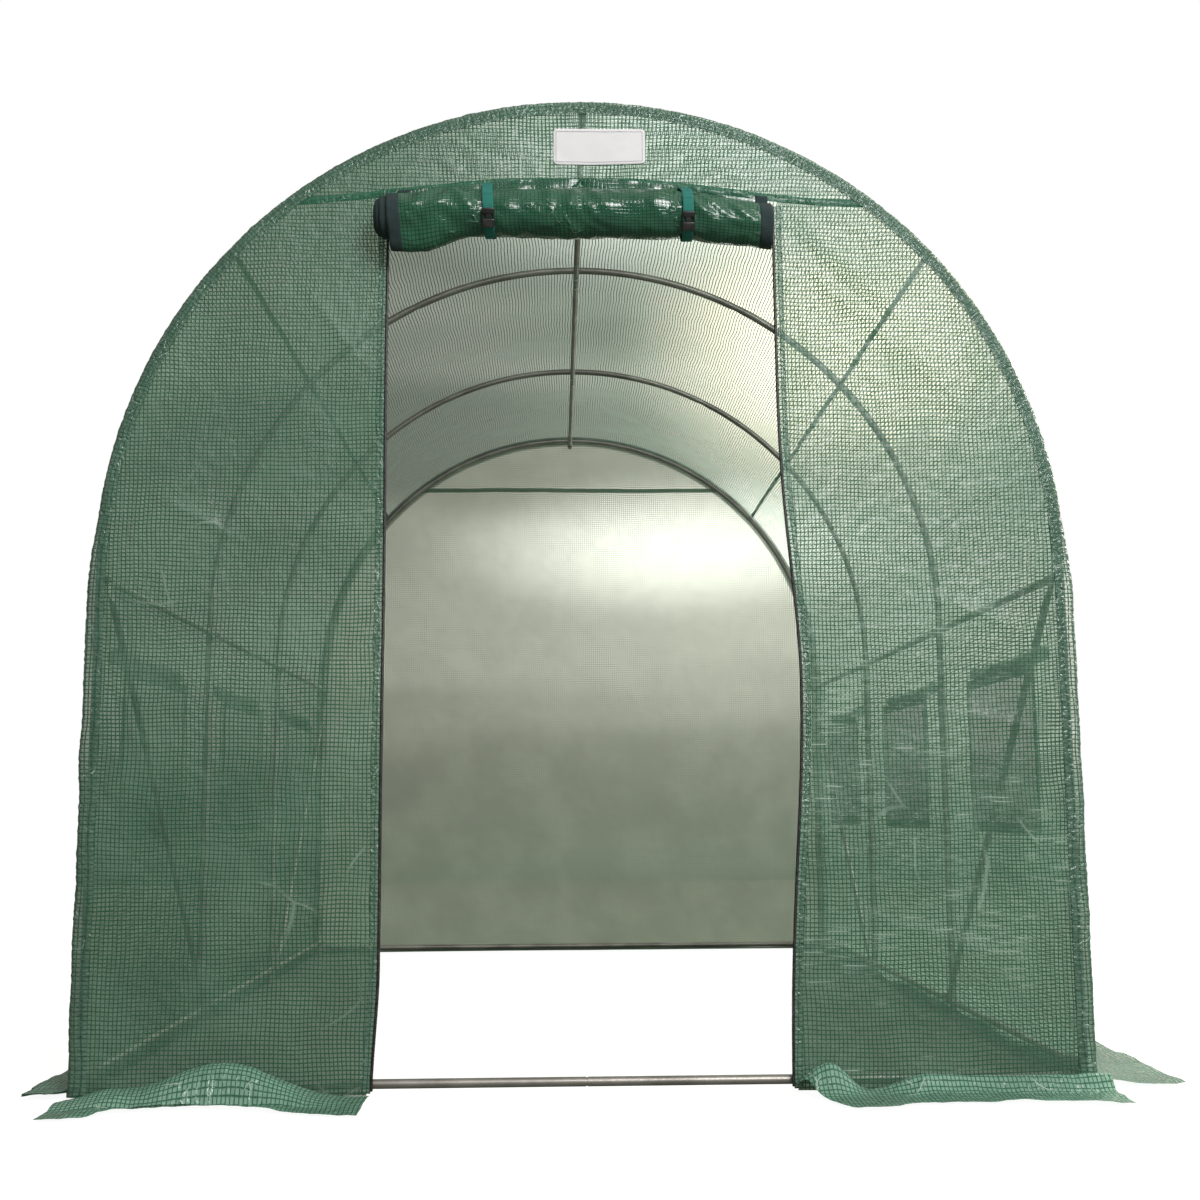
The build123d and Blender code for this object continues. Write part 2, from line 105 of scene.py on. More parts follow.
camera = bpy.data.objects.new("camera", bpy.data.cameras.new("camera"))
bpy.context.scene.collection.objects.link(camera)
camera.data.sensor_width = 36
camera.data.lens = focal_pixels / frame_pixels * camera.data.sensor_width
turn = Matrix((camera_right, camera_up, -look)).transposed()
camera.matrix_world = Matrix.Translation(camera_place) @ turn.to_4x4()
bpy.context.scene.camera = camera
bpy.context.scene.view_settings.view_transform = "Standard"
print(f"lens {camera.data.lens:.2f} mm")

# %% [markdown]
# Node trees get long when every node is placed by hand. These helpers add one node, fill its
# sockets with values or links, and hand back its output, so a finish reads like a recipe.

# %% Helpers for node trees
def add_node(tree, kind, *values, **settings):
    """Add a node, set its settings, and fill its inputs in order. None leaves an input alone."""
    made = tree.nodes.new(kind)
    for name, value in settings.items():
        setattr(made, name, value)
    for socket, value in zip(made.inputs, values):
        fill(tree, socket, value)
    return made


def fill(tree, socket, value):
    """Link a socket to another, or give it a value."""
    if isinstance(value, bpy.types.NodeSocket):
        tree.links.new(value, socket)
    elif value is not None:
        socket.default_value = value


def calc(tree, operation, *values):
    """A Math node's result."""
    return add_node(tree, "ShaderNodeMath", *values, operation=operation).outputs[0]


def product(tree, *values):
    """All the values multiplied."""
    result = values[0]
    for value in values[1:]:
        result = calc(tree, "MULTIPLY", result, value)
    return result


def vector_calc(tree, operation, first, second=None, third=None, scale=None):
    """A Vector Math node's result, which is a number for a length and a vector for the rest."""
    made = add_node(tree, "ShaderNodeVectorMath", first, second, third, operation=operation)
    if scale is not None:
        fill(tree, made.inputs["Scale"], scale)
    return made.outputs["Value" if operation == "LENGTH" else "Vector"]


def split(tree, vector):
    """A vector's three parts."""
    return add_node(tree, "ShaderNodeSeparateXYZ", vector).outputs


def blend(tree, factor, first, second):
    """A colour between two others."""
    mix = tree.nodes.new("ShaderNodeMix")
    mix.data_type = "RGBA"
    for index, value in ((0, factor), (6, first), (7, second)):
        fill(tree, mix.inputs[index], value)
    return mix.outputs[2]


def ramp(tree, value, low, high, from_low=0.0, from_high=1.0):
    """Carry a value from one range to another smoothly, and stop at the ends."""
    ranges = (from_low, from_high, low, high)
    kind = "ShaderNodeMapRange"
    return add_node(tree, kind, value, *ranges, interpolation_type="SMOOTHSTEP").outputs[0]


def grain(tree, place, scale, detail=2.0, dimensions="2D", output=0):
    """A Noise texture, on a flat map unless it is asked for in space. Output 1 is a vector."""
    made = add_node(tree, "ShaderNodeTexNoise", noise_dimensions=dimensions)
    for label, value in (("Vector", place), ("Scale", scale), ("Detail", detail)):
        fill(tree, made.inputs[label], value)
    return made.outputs[output]


print("node helpers ready")

# %% [markdown]
# A pattern that goes into several finishes is a node group, and each finish is a material with
# its own tree. Nearly every one ends in the same way: a Principled shader whose surface is
# raised by a height through a Bump node.

# %% Groups, finishes and skins
def new_group(name, inputs, outputs):
    """An empty node group with named inputs and outputs."""
    group = bpy.data.node_groups.new(name, "ShaderNodeTree")
    for way, sockets in (("INPUT", inputs), ("OUTPUT", outputs)):
        for label, kind in sockets.items():
            group.interface.new_socket(label, in_out=way, socket_type="NodeSocket" + kind)
    return group, group.nodes.new("NodeGroupInput").outputs, group.nodes.new("NodeGroupOutput")


def use_group(tree, group, *values):
    """Place a group in a material and fill its inputs."""
    return add_node(tree, "ShaderNodeGroup", *values, node_tree=group).outputs


def new_finish(name, place="cloth"):
    """A material with an empty tree, its output's socket, and the map that patterns follow."""
    finish = bpy.data.materials.new(name)
    finish.use_nodes = True
    tree = finish.node_tree
    tree.nodes.clear()
    if place == "cloth":
        place = add_node(tree, "ShaderNodeUVMap", uv_map="cloth").outputs[0]
    else:
        place = add_node(tree, "ShaderNodeTexCoord").outputs["Object"]
    return finish, tree, tree.nodes.new("ShaderNodeOutputMaterial").inputs[0], place


def make_skin(tree, tone, roughness, rise=None, strength=1.0, distance=1.0, metal=0.0):
    """A Principled shader whose surface is raised by a height."""
    skin = add_node(tree, "ShaderNodeBsdfPrincipled")
    sockets = {"Base Color": tone, "Roughness": roughness, "Metallic": metal}
    if rise is not None:
        bump = add_node(tree, "ShaderNodeBump")
        for label, value in (("Strength", strength), ("Distance", distance), ("Height", rise)):
            fill(tree, bump.inputs[label], value)
        sockets["Normal"] = bump.outputs[0]
    for label, value in sockets.items():
        fill(tree, skin.inputs[label], value)
    return skin


def opaque(colour, factor=1.0):
    """A colour as a node wants it, made lighter or darker."""
    return tuple(min(1.0, factor * part) for part in colour) + (1,)


print("finish helpers ready")

# %% [markdown]
# The light is a plain pale sky, with one wide soft lamp behind and to the right, because the
# photograph's film glows on that side, one small lamp behind the back wall, and one in front.
# The background is white only where the camera sees it directly. What shines through the film
# is a sky that is dark below the horizon and bright in three spots: behind the right panel,
# over the doorway, and behind the back wall.

# %% The sky
glows = (
    ((0.20, 0.93, 0.31), (0.17, 0.50, 0.14), (7.4, 6.4, 5.1)),
    ((0.10, 0.90, 0.43), (0.24, 0.50, 0.12), (3.6, 3.6, 3.4)),
    ((0.09, 0.98, 0.170), (0.19, 0.50, 0.055), (5.2, 5.0, 4.6)),
)
sky_strength = 0.62
white = (1, 1, 1, 1)


def seen_directly(tree):
    """1 for rays from the camera that haven't passed through film."""
    path = tree.nodes.new("ShaderNodeLightPath").outputs
    first = calc(tree, "LESS_THAN", path["Transparent Depth"], 0.5)
    return calc(tree, "MULTIPLY", path["Is Camera Ray"], first)


def choose(tree, factor, first, second):
    """A shader between two others."""
    shaders = (first.outputs[0], second.outputs[0])
    return add_node(tree, "ShaderNodeMixShader", factor, *shaders)


def make_sky():
    sky = bpy.data.worlds.new("pale sky")
    bpy.context.scene.world = sky
    sky.use_nodes = True
    tree = sky.node_tree
    tree.nodes.clear()
    way = add_node(tree, "ShaderNodeTexCoord").outputs["Generated"]
    across, _, height = split(tree, way)
    ground, cloud = (0.10, 0.16, 0.11, 1), (1.12, 1.06, 0.96, 1)
    tone = blend(tree, ramp(tree, height, 0.0, 1.0, -0.08, 0.12), ground, cloud)
    long_way = vector_calc(tree, "MULTIPLY", way, (2.2, 2.2, 15.0))
    bands = ramp(tree, grain(tree, long_way, 1.0, 1.0, "3D"), 0.66, 1.34, 0.38, 0.62)
    side = ramp(tree, across, 0.50, 1.35, -0.35, 0.35)
    tone = vector_calc(tree, "SCALE", tone, scale=calc(tree, "MULTIPLY", bands, side))
    for middle_way, size, light in glows:
        off = vector_calc(tree, "SUBTRACT", way, Vector(middle_way).normalized())
        off = vector_calc(tree, "LENGTH", vector_calc(tree, "DIVIDE", off, size))
        tone = blend(tree, ramp(tree, off, 1.0, 0.0), tone, light + (1,))
    shown = add_node(tree, "ShaderNodeBackground", white, 1.0)
    lighting = add_node(tree, "ShaderNodeBackground", tone, sky_strength)
    both = choose(tree, seen_directly(tree), lighting, shown)
    tree.links.new(both.outputs[0], tree.nodes.new("ShaderNodeOutputWorld").inputs[0])


def soft_lamp(name, place, target, size, power, colour=(1, 1, 1)):
    """A wide area lamp that faces a target and isn't seen itself."""
    lamp = bpy.data.lights.new(name, "AREA")
    lamp.size = size
    lamp.energy = power
    lamp.color = colour
    holder = bpy.data.objects.new(name, lamp)
    bpy.context.scene.collection.objects.link(holder)
    holder.location = place
    holder.rotation_euler = (Vector(target) - Vector(place)).to_track_quat("-Z", "Y").to_euler()
    holder.visible_camera = False


make_sky()
warm, faintly_warm = (1, 0.96, 0.88), (1, 0.97, 0.92)
soft_lamp("sky on the right", (6.0, 1.6, 4.2), (0.6, 0.2, 1.3), 3.0, 460, warm)
soft_lamp("glow behind the back wall", (0.62, 2.3, 1.62), (0.5, 1.5, 1.46), 0.5, 5, faintly_warm)
soft_lamp("front right sheen", (1.30, -5.2, 3.1), (0.5, -1.48, 1.6), 1.4, 160)
print("light set")

# %% [markdown]
# The floor is a plain plane. It stays white to the camera, inside the doorway too, because
# most of what the camera sees is its own colour and not light, and the rest takes the shadow.
# Seen through the film it is a dull lawn, as the film's lower parts would be too bright else.

# %% The floor
floor_half, floor_z = 7, -0.0015


def make_floor():
    finish, tree, out, _ = new_finish("pale floor", "object")
    matt = add_node(tree, "ShaderNodeBsdfDiffuse", (0.20, 0.22, 0.19, 1))
    paper = add_node(tree, "ShaderNodeEmission", white, 0.93)
    both = add_node(tree, "ShaderNodeAddShader", matt.outputs[0], paper.outputs[0])
    tree.links.new(choose(tree, seen_directly(tree), matt, both).outputs[0], out)
    shape = bmesh.new()
    bmesh.ops.create_grid(shape, x_segments=1, y_segments=1, size=floor_half)
    bmesh.ops.translate(shape, verts=shape.verts, vec=(0, 0, floor_z))
    mesh = bpy.data.meshes.new("floor")
    shape.to_mesh(mesh)
    shape.free()
    mesh.materials.append(finish)
    floor = bpy.data.objects.new("floor", mesh)
    bpy.context.scene.collection.objects.link(floor)
    floor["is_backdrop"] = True


make_floor()
print("floor laid")

# %% [markdown]
# The film is two clear green skins with a grid of threads between them, about 8 mm apart. On a
# map of the flat cloth in metres, the distance to the nearest thread is a ping-pong of each
# coordinate. A slow drift keeps the lines from looking ruled. This grid goes into several
# finishes, so it is a group.

# %% Node group for the woven grid
def make_weave():
    group, given, out = new_group(
        "laid threads",
        {"Cloth": "Vector", "Pitch": "Float", "Thread": "Float"},
        {"Threads": "Float", "Height": "Float", "Across": "Float"},
    )
    drift = grain(group, given["Cloth"], 7.0, 1.0, output=1)
    centred = vector_calc(group, "SUBTRACT", drift, (0.5, 0.5, 0.5))
    moved = vector_calc(group, "MULTIPLY_ADD", centred, (0.010, 0.010, 0), given["Cloth"])
    half_pitch, inner, outer = [
        calc(group, "MULTIPLY", given[label], share)
        for label, share in (("Pitch", 0.5), ("Thread", 0.22), ("Thread", 0.72))
    ]
    lines = [
        ramp(group, calc(group, "PINGPONG", part, half_pitch), 1.0, 0.0, inner, outer)
        for part in split(group, moved)[:2]
    ]
    group.links.new(calc(group, "MAXIMUM", *lines), out.inputs["Threads"])
    height = calc(group, "MULTIPLY", calc(group, "ADD", *lines), 0.5)
    group.links.new(height, out.inputs["Height"])
    group.links.new(lines[1], out.inputs["Across"])
    return group


weave = make_weave()
print("group:", weave.name)

# %% [markdown]
# Film that was folded in a bag keeps sharp creases, and each crease shows as a pale hairline
# where the skin has whitened, and partly as a painted glint of light on the crease. The edges
# between Voronoi cells are such straight, meeting lines, and a slow noise lets only a few of
# them show. At a small size they are the hem's crackle, partly whitened and partly painted glints.

# %% Node group for creases
def make_creases():
    group, given, out = new_group(
        "crease whitening and painted glints",
        {"Cloth": "Vector", "Size": "Float"},
        {"Lines": "Float", "Height": "Float"},
    )
    cloth, size = given["Cloth"], given["Size"]
    scale = calc(group, "DIVIDE", 1.0, size)
    bent = grain(group, cloth, scale, output=1)
    bent = vector_calc(group, "SCALE", bent, scale=calc(group, "MULTIPLY", size, 0.35))
    facets = group.nodes.new("ShaderNodeTexVoronoi")
    facets.feature = "DISTANCE_TO_EDGE"
    facets.voronoi_dimensions = "2D"
    fill(group, facets.inputs["Vector"], vector_calc(group, "ADD", cloth, bent))
    fill(group, facets.inputs["Scale"], scale)
    edge = facets.outputs["Distance"]
    patches = grain(group, cloth, calc(group, "MULTIPLY", scale, 0.6))
    pieces = grain(group, cloth, calc(group, "MULTIPLY", scale, 2.3), 0.0)
    few = ramp(group, patches, 0.0, 1.0, 0.54, 0.68)
    where = calc(group, "MULTIPLY", few, ramp(group, pieces, 0.0, 1.0, 0.42, 0.60))
    sharp, soft = [ramp(group, edge, 1.0, 0.0, *ends) for ends in ((0.004, 0.022), (0.0, 0.22))]
    # the pale lines: partly whitened skin, partly painted glints
    group.links.new(calc(group, "MULTIPLY", sharp, where), out.inputs["Lines"])
    group.links.new(calc(group, "MULTIPLY", soft, where), out.inputs["Height"])
    return group


creases = make_creases()
print("group:", creases.name)

# %% [markdown]
# Film lets light through in three ways at once: some goes straight, so the braces show through
# the front wall, some is scattered forward, which makes a wall glow when the sky is behind it,
# and some comes back as colour and gloss. So the finish mixes a Transparent, a Translucent and
# a Principled shader. The threads let nothing straight through. On the front wall, short pale
# dashes along the threads stand for light that the wet looking skin throws back.

# %% How film is made
thread_pitch, thread_width = 0.0084, 0.0024
# the pale colour of whitened creases, also used for painted glints and painted sheen dashes
whitened_and_glint_film = (0.72, 0.88, 0.78, 1)


def make_painted_sheen(tree, cloth, haze, most):
    """Painted sheen: pale dashes along the threads, in patches, more of them low down and to the
    right.
    """
    long_way = vector_calc(tree, "MULTIPLY", cloth, (13.0, 230.0, 0))
    to_right, up, _ = split(tree, cloth)
    return product(
        tree,
        ramp(tree, grain(tree, long_way, 1.0, 0.0), 0.0, most, 0.60, 0.72),
        ramp(tree, haze, 0.0, 1.0, 0.50, 0.62),
        ramp(tree, to_right, 0.1, 1.0, 0.0, 0.5),
        ramp(tree, up, 1.0, 0.15, 0.7, 1.2),
    )


def make_film(
    name, film, thread, see_through, glow, gloss=0.26, hazy=0.5, whitening_and_glint=0.0, crease_size=0.2,
    painted_sheen=0.0, crumple_size=0.026, crumple_rise=0.0
):
    """see_through and glow are shares. Pale crease lines are partly whitened skin and partly
    painted glints, and the pale dashes along the threads are a painted sheen.
    """
    finish, tree, out, cloth = new_finish(name)
    threads, thread_height, across = use_group(tree, weave, cloth, thread_pitch, thread_width)
    lines, crease_height = 0.0, 0.0
    if whitening_and_glint:
        lines, crease_height = use_group(tree, creases, cloth, crease_size)
    haze = grain(tree, cloth, 5.0)
    tone = ramp(tree, haze, 0.0, 1.0, 0.3, 0.7)
    tone = blend(tree, tone, opaque(film, 0.90), opaque(film, 1.07))
    tone = blend(tree, calc(tree, "MULTIPLY", threads, 0.92), tone, opaque(thread))
    # pale holds the crease lines, partly whitened skin and partly painted glints, and the painted
    # sheen dashes
    pale = calc(tree, "MULTIPLY", lines, whitening_and_glint)
    if painted_sheen:
        dashes = make_painted_sheen(tree, cloth, haze, painted_sheen)
        pale = calc(tree, "MAXIMUM", pale, calc(tree, "MULTIPLY", dashes, across))
    tone = blend(tree, pale, tone, whitened_and_glint_film)
    rise = calc(tree, "MULTIPLY", thread_height, 0.0004)
    if crumple_rise:
        crumple = grain(tree, cloth, 1.0 / crumple_size, 1.0)
        rise = calc(tree, "MULTIPLY_ADD", crease_height, 0.0022, rise)
        rise = calc(tree, "MULTIPLY_ADD", crumple, crumple_rise * crumple_size, rise)
    skin = make_skin(tree, tone, ramp(tree, haze, gloss, gloss + 0.14), rise, 0.9)
    through = add_node(tree, "ShaderNodeBsdfTranslucent", tone)
    clear = add_node(tree, "ShaderNodeBsdfTransparent", (0.92, 0.97, 0.93, 1))
    open_share = product(
        tree,
        calc(tree, "SUBTRACT", 1.0, threads),
        see_through,
        ramp(tree, haze, 1.0, hazy, 0.35, 0.75),
        calc(tree, "SUBTRACT", 1.0, pale),
    )
    both = choose(tree, open_share, choose(tree, glow, skin, through), clear)
    tree.links.new(both.outputs[0], out)
    return finish


print(f"threads {thread_pitch * 1000:.1f} mm apart")

# %% [markdown]
# One recipe gives seven films. The front wall's is clear, with a painted sheen, the roof's milky
# with the light behind it, and the back wall's painted pale, a painted glow of the light behind
# it. The hem's is doubled and crackled with painted glints, and the rolled one dark, since many
# layers lie on each other, and darker still as painted shade. The seam's ribbon and the skirts
# let almost nothing through.

# %% The film finishes
# The front wall's dashes are a painted sheen, and its pale creases are partly painted glints.
wall_film = make_film(
    "front wall film", (0.265, 0.435, 0.33), (0.02, 0.10, 0.055), 0.66, 0.48,
    gloss=0.2, hazy=0.72, whitening_and_glint=0.25, painted_sheen=0.5, crumple_rise=0.13,
)
roof_film = make_film(
    "roof film", (0.40, 0.60, 0.49), (0.012, 0.05, 0.03), 0.66, 0.55, hazy=0.9
)
# The back wall's pale beige colour and pale threads are a painted glow of the light behind it.
back_film_painted_glow = make_film(
    "back wall film with painted glow", (0.76, 0.80, 0.68), (0.18, 0.25, 0.19), 0.62, 0.60, hazy=0.95
)
# The hem's fine pale crackle is partly whitened film and partly painted glints.
hem_film = make_film(
    "doubled hem film", (0.17, 0.29, 0.22), (0.03, 0.10, 0.065), 0.52, 0.25,
    gloss=0.14, whitening_and_glint=0.9, crease_size=0.03, crumple_size=0.010, crumple_rise=0.42,
)
# The rolled film's very dark colour is partly its many layers and partly painted shade.
rolled_film = make_film(
    "rolled film", (0.03, 0.115, 0.065), (0.01, 0.055, 0.033), 0.0, 0.08,
    gloss=0.10, whitening_and_glint=0.3, crease_size=0.05, crumple_size=0.07, crumple_rise=0.22,
)
seam_film = make_film(
    "seam ribbon film", (0.04, 0.17, 0.10), (0.02, 0.10, 0.06), 0.05, 0.3,
    gloss=0.22, whitening_and_glint=0.6, crease_size=0.02, crumple_rise=0.19,
)
# The skirts' many pale crease lines are partly whitened film and partly painted glints.
skirt_film = make_film(
    "skirt film", (0.31, 0.54, 0.42), (0.03, 0.15, 0.09), 0.12, 0.35,
    gloss=0.13, whitening_and_glint=0.9, crease_size=0.05, crumple_size=0.014, crumple_rise=0.36,
)
print("film finishes made")

# %% [markdown]
# Woven tapes are narrow, dense and dull: zip tape, the ties' webbing and the bare patch. Ribs
# both ways come from a ping-pong of the flat map, and thread noise breaks up the colour. The
# insect net is the same grid of threads as the film's, but fine, with holes between.

# %% The woven finishes
def make_webbing(name, colour, rib, roughness=0.75, fleck=0.25):
    finish, tree, out, cloth = new_finish(name)
    waves = [calc(tree, "PINGPONG", part, rib / 2) for part in split(tree, cloth)[:2]]
    flecks = grain(tree, cloth, 900.0, 1.0)
    tone = blend(tree, flecks, opaque(colour, 1 - fleck), opaque(colour, 1 + fleck))
    skin = make_skin(tree, tone, roughness, calc(tree, "ADD", *waves), 0.6)
    tree.links.new(skin.outputs[0], out)
    return finish


def make_net_finish():
    finish, tree, out, cloth = new_finish("insect net")
    threads = use_group(tree, weave, cloth, 0.0018, 0.0007)[0]
    tone = blend(tree, grain(tree, cloth, 9.0), (0.02, 0.08, 0.05, 1), (0.05, 0.15, 0.10, 1))
    skin = make_skin(tree, tone, 0.55)
    fill(tree, skin.inputs["Alpha"], ramp(tree, threads, 0.35, 1.0))
    tree.links.new(skin.outputs[0], out)
    return finish


zip_tape = make_webbing("zip tape", (0.012, 0.03, 0.032), 0.002)
tie_webbing = make_webbing("teal webbing", (0.01, 0.16, 0.13), 0.0024)
patch_cloth = make_webbing("bare patch cloth", (0.78, 0.77, 0.79), 0.0012, 0.8, 0.04)
patch_thread = make_webbing("patch stitching", (0.35, 0.33, 0.38), 0.0010)
net_finish = make_net_finish()
print("woven finishes made")

# %% [markdown]
# The tubes are galvanised: dull grey zinc with a faint brown cast, pale spangles and soft
# darker clouds. Zinc that has been outdoors is only half metallic in look, so the metal value
# stays under 1 and the roughness is uneven. Plastic is the same recipe with finer grain.

# %% The steel and plastic finishes
def make_steel(name, colour, dark, roughness):
    finish, tree, out, place = new_finish(name, "object")
    spangle = grain(tree, place, 160.0, 2.0, "3D")
    cloud = ramp(tree, grain(tree, place, 9.0, 3.0, "3D"), 0.0, 1.0, 0.35, 0.65)
    tone = blend(tree, cloud, opaque(dark), opaque(colour))
    uneven = ramp(tree, spangle, roughness - 0.1, roughness + 0.12)
    skin = make_skin(tree, tone, uneven, spangle, 0.25, 0.0004, metal=0.75)
    tree.links.new(skin.outputs[0], out)
    return finish


def make_plastic(name, colour, roughness):
    finish, tree, out, place = new_finish(name, "object")
    pebble = grain(tree, place, 1400.0, 1.0, "3D")
    wear = grain(tree, place, 60.0, 3.0, "3D")
    pale = tuple(part + 0.02 for part in colour)
    tone = blend(tree, ramp(tree, wear, 0.0, 1.0, 0.4, 0.8), opaque(colour), opaque(pale))
    worn = ramp(tree, wear, roughness, roughness + 0.15)
    tree.links.new(make_skin(tree, tone, worn, pebble, 0.3, 0.0002).outputs[0], out)
    return finish


steel = make_steel("galvanised steel", (0.36, 0.34, 0.32), (0.24, 0.225, 0.21), 0.42)
bright_steel = make_steel("bright zinc", (0.62, 0.62, 0.62), (0.45, 0.45, 0.45), 0.3)
buckle_plastic = make_plastic("black buckle plastic", (0.012, 0.012, 0.013), 0.32)
coil_plastic = make_plastic("black zip coil", (0.008, 0.009, 0.010), 0.4)
print("steel and plastic made")

# %% [markdown]
# Every piece rides on the part's one body and says which nodes of the frame it stands for.

# %% Making a piece
def dress(name, shape, finish, nodes=(), smooth=True):
    """Turn a bmesh into a piece that rides on the part and stands for its nodes."""
    mesh = bpy.data.meshes.new(name)
    shape.normal_update()
    shape.to_mesh(mesh)
    shape.free()
    mesh.materials.append(finish)
    mesh.polygons.foreach_set("use_smooth", [smooth] * len(mesh.polygons))
    piece = bpy.data.objects.new(name, mesh)
    bpy.context.scene.collection.objects.link(piece)
    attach(piece, "root")
    if nodes:
        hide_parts(*nodes)
    return piece


def sew(name, shape, finish, slot, nodes, flat, held, rests_on, **more):
    """Dress a piece. What sheet it is, its flat size, and how and by what it is held are not used.
    """
    piece = dress(name, shape, finish, nodes)
    return piece


def thicken(piece, thickness):
    piece.modifiers.new("thickness", "SOLIDIFY").thickness = thickness


def turn_over(shape):
    bmesh.ops.reverse_faces(shape, faces=shape.faces)


def join(shapes):
    """One bmesh from several."""
    whole = bmesh.new()
    for shape in shapes:
        mesh = bpy.data.meshes.new("part")
        shape.to_mesh(mesh)
        shape.free()
        whole.from_mesh(mesh)
        bpy.data.meshes.remove(mesh)
    return whole


print("pieces can be dressed")

# %% [markdown]
# Cloth is easiest to think of in two steps, as a sewer does: cut it flat, then hang it. The
# grid's corners first take their place on the flat cut, which also becomes the map that the
# weave follows, in metres. Then a second function carries each flat point to where it hangs.

# %% Cutting and hanging a sheet
def map_cloth(shape):
    """Give each corner its place on the flat cloth, in metres, as the map of the weave."""
    layer = shape.loops.layers.uv.new("cloth")
    for face in shape.faces:
        for corner in face.loops:
            corner[layer].uv = corner.vert.co.xy


def cut_hole(shape, low, high):
    """Cut a rectangle out of flat cloth."""
    for axis, normal in ((0, (1, 0, 0)), (1, (0, 1, 0))):
        for at in (low[axis], high[axis]):
            everything = shape.verts[:] + shape.edges[:] + shape.faces[:]
            point = Vector(normal) * at
            bmesh.ops.bisect_plane(shape, geom=everything, plane_co=point, plane_no=normal)
    inside = []
    for face in shape.faces:
        middle = face.calc_center_median()
        if low[0] < middle.x < high[0] and low[1] < middle.y < high[1]:
            inside.append(face)
    bmesh.ops.delete(shape, geom=inside, context="FACES")


def cut_and_hang(cut, hang, columns, rows, holes=()):
    """A sheet: cut(s, t) gives the flat point for s and t from 0 to 1, hang(u, v) its place."""
    shape = bmesh.new()
    bmesh.ops.create_grid(shape, x_segments=columns, y_segments=rows, size=0.5)
    for corner in shape.verts:
        corner.co = (*cut(corner.co.x + 0.5, corner.co.y + 0.5), 0)
    for low, high in holes:
        cut_hole(shape, low, high)
    map_cloth(shape)
    for corner in shape.verts:
        corner.co = hang(corner.co.x, corner.co.y)
    return shape


def oblong(left, right, bottom, top):
    """The cut of a plain rectangle."""
    return lambda s, t: (left + s * (right - left), bottom + t * (top - bottom))


print("cloth can be cut and hung")

# %% [markdown]
# Nothing made of film is flat. Three small functions shape all of it: smooth noise for waves
# and puckers, a smooth step for what begins somewhere, and a bell for a bump at one place.

# %% Waves, steps and bumps
def wobble(u, v, w):
    """A smooth random value between about -1 and 1."""
    return noise.noise(Vector((u, v, w)))


def ripple(u, v, size, depth, layer=0.0):
    """A slow random wave over the flat cloth."""
    return depth * wobble(u / size, v / size, layer)


def ease(value, low, high):
    """0 below low, 1 above high, and smooth between."""
    share = min(1.0, max(0.0, (value - low) / (high - low)))
    return share * share * (3 - 2 * share)


def bell(value, middle, width):
    """1 at the middle, and down to nothing within about two widths."""
    return exp(-(((value - middle) / width) ** 2))


print(f"half way up a step: {ease(0.5, 0, 1)}")

# %% [markdown]
# Tubes can be cut and hung in the same way: a flat strip whose width is rolled once round. The
# hoop is followed by the distance along it from the left foot, up one leg, round the arch and
# down the other. The cover follows the same path a little further out.

# %% Following a hoop
half_round = pi * hoop_radius
hoop_run = 2 * spring + half_round


def along_arch(distance, radius):
    """The point of an arch at this distance from its left foot, and the way outwards."""
    arch_run = pi * radius
    if distance < spring:
        return Vector((-radius, 0, distance)), Vector((-1, 0, 0))
    if distance > spring + arch_run:
        return Vector((radius, 0, 2 * spring + arch_run - distance)), Vector((1, 0, 0))
    angle = pi - (distance - spring) / radius
    outward = Vector((cos(angle), 0, sin(angle)))
    return Vector((0, 0, spring)) + outward * radius, outward


def rolled_tube(start, end, place, step, around=16):
    """A tube: place(turn, along) gives the point at a turn from 0 to tau and a distance along."""
    rows = max(2, round((end - start) / step))
    shape = cut_and_hang(oblong(0, tau, start, end), place, around, rows)
    bmesh.ops.remove_doubles(shape, verts=shape.verts, dist=1e-5)
    bmesh.ops.recalc_face_normals(shape, faces=shape.faces)
    return shape


def metalwork(name, shape, nodes=(), finish=steel, smooth=True):
    dress(name, shape, finish, nodes, smooth)


print(f"one hoop is {hoop_run:.2f} m of tube")

# %% [markdown]
# Each hoop is five tubes. Where a swaged end enters the next tube, a shallow groove is left.

# %% The hoops
neck, neck_depth = 0.003, 0.0013
leg_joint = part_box("front_hoop_shoulder_tubes")[0].z
crown_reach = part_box("front_hoop_crown_tube")[1].x
crown_turn = pi / 2 - atan2(sqrt(max(0.0, hoop_radius**2 - crown_reach**2)), crown_reach)
crown_start = spring + half_round / 2 - hoop_radius * crown_turn
crown_end, far_joint = hoop_run - crown_start, hoop_run - leg_joint
hoop_parts = (
    ("legs", ((0.0, leg_joint), (far_joint, hoop_run))),
    ("shoulder_tubes", ((leg_joint, crown_start), (crown_end, far_joint))),
    ("crown_tube", ((crown_start, crown_end),)),
)


def hoop_surface(turn, distance, place_y):
    centre, outward = along_arch(distance, hoop_radius)
    radius = hoop_tube / 2
    for joint in (leg_joint, crown_start, crown_end, far_joint):
        if abs(distance - joint) < neck:
            radius -= neck_depth
    return centre + outward * (radius * cos(turn)) + Vector((0, place_y + radius * sin(turn), 0))


for hoop_name, hoop_y in zip(hoop_names, hoop_places):
    for part, ranges in hoop_parts:
        runs = [
            rolled_tube(start, end, lambda u, v: hoop_surface(u, v, hoop_y), 0.024)
            for start, end in ranges
        ]
        metalwork(f"{hoop_name}_{part}", join(runs), [f"{hoop_name}_hoop_{part}"])
print("hoops rolled")

# %% [markdown]
# Rails, braces and ground bars are thinner tube with ends pressed flat and bolted. The section
# goes from a circle to a flat oval over the last few centimetres, which one smooth step does.

# %% Pressed tubes and bolts
press_taper = 0.03
pressed_length, pressed_width, pressed_thickness = 0.034, 0.024, 0.002
pressed_lap = 0.008
sides = (("left", -1), ("right", 1))


def sign(value):
    return 1 if value >= 0 else -1


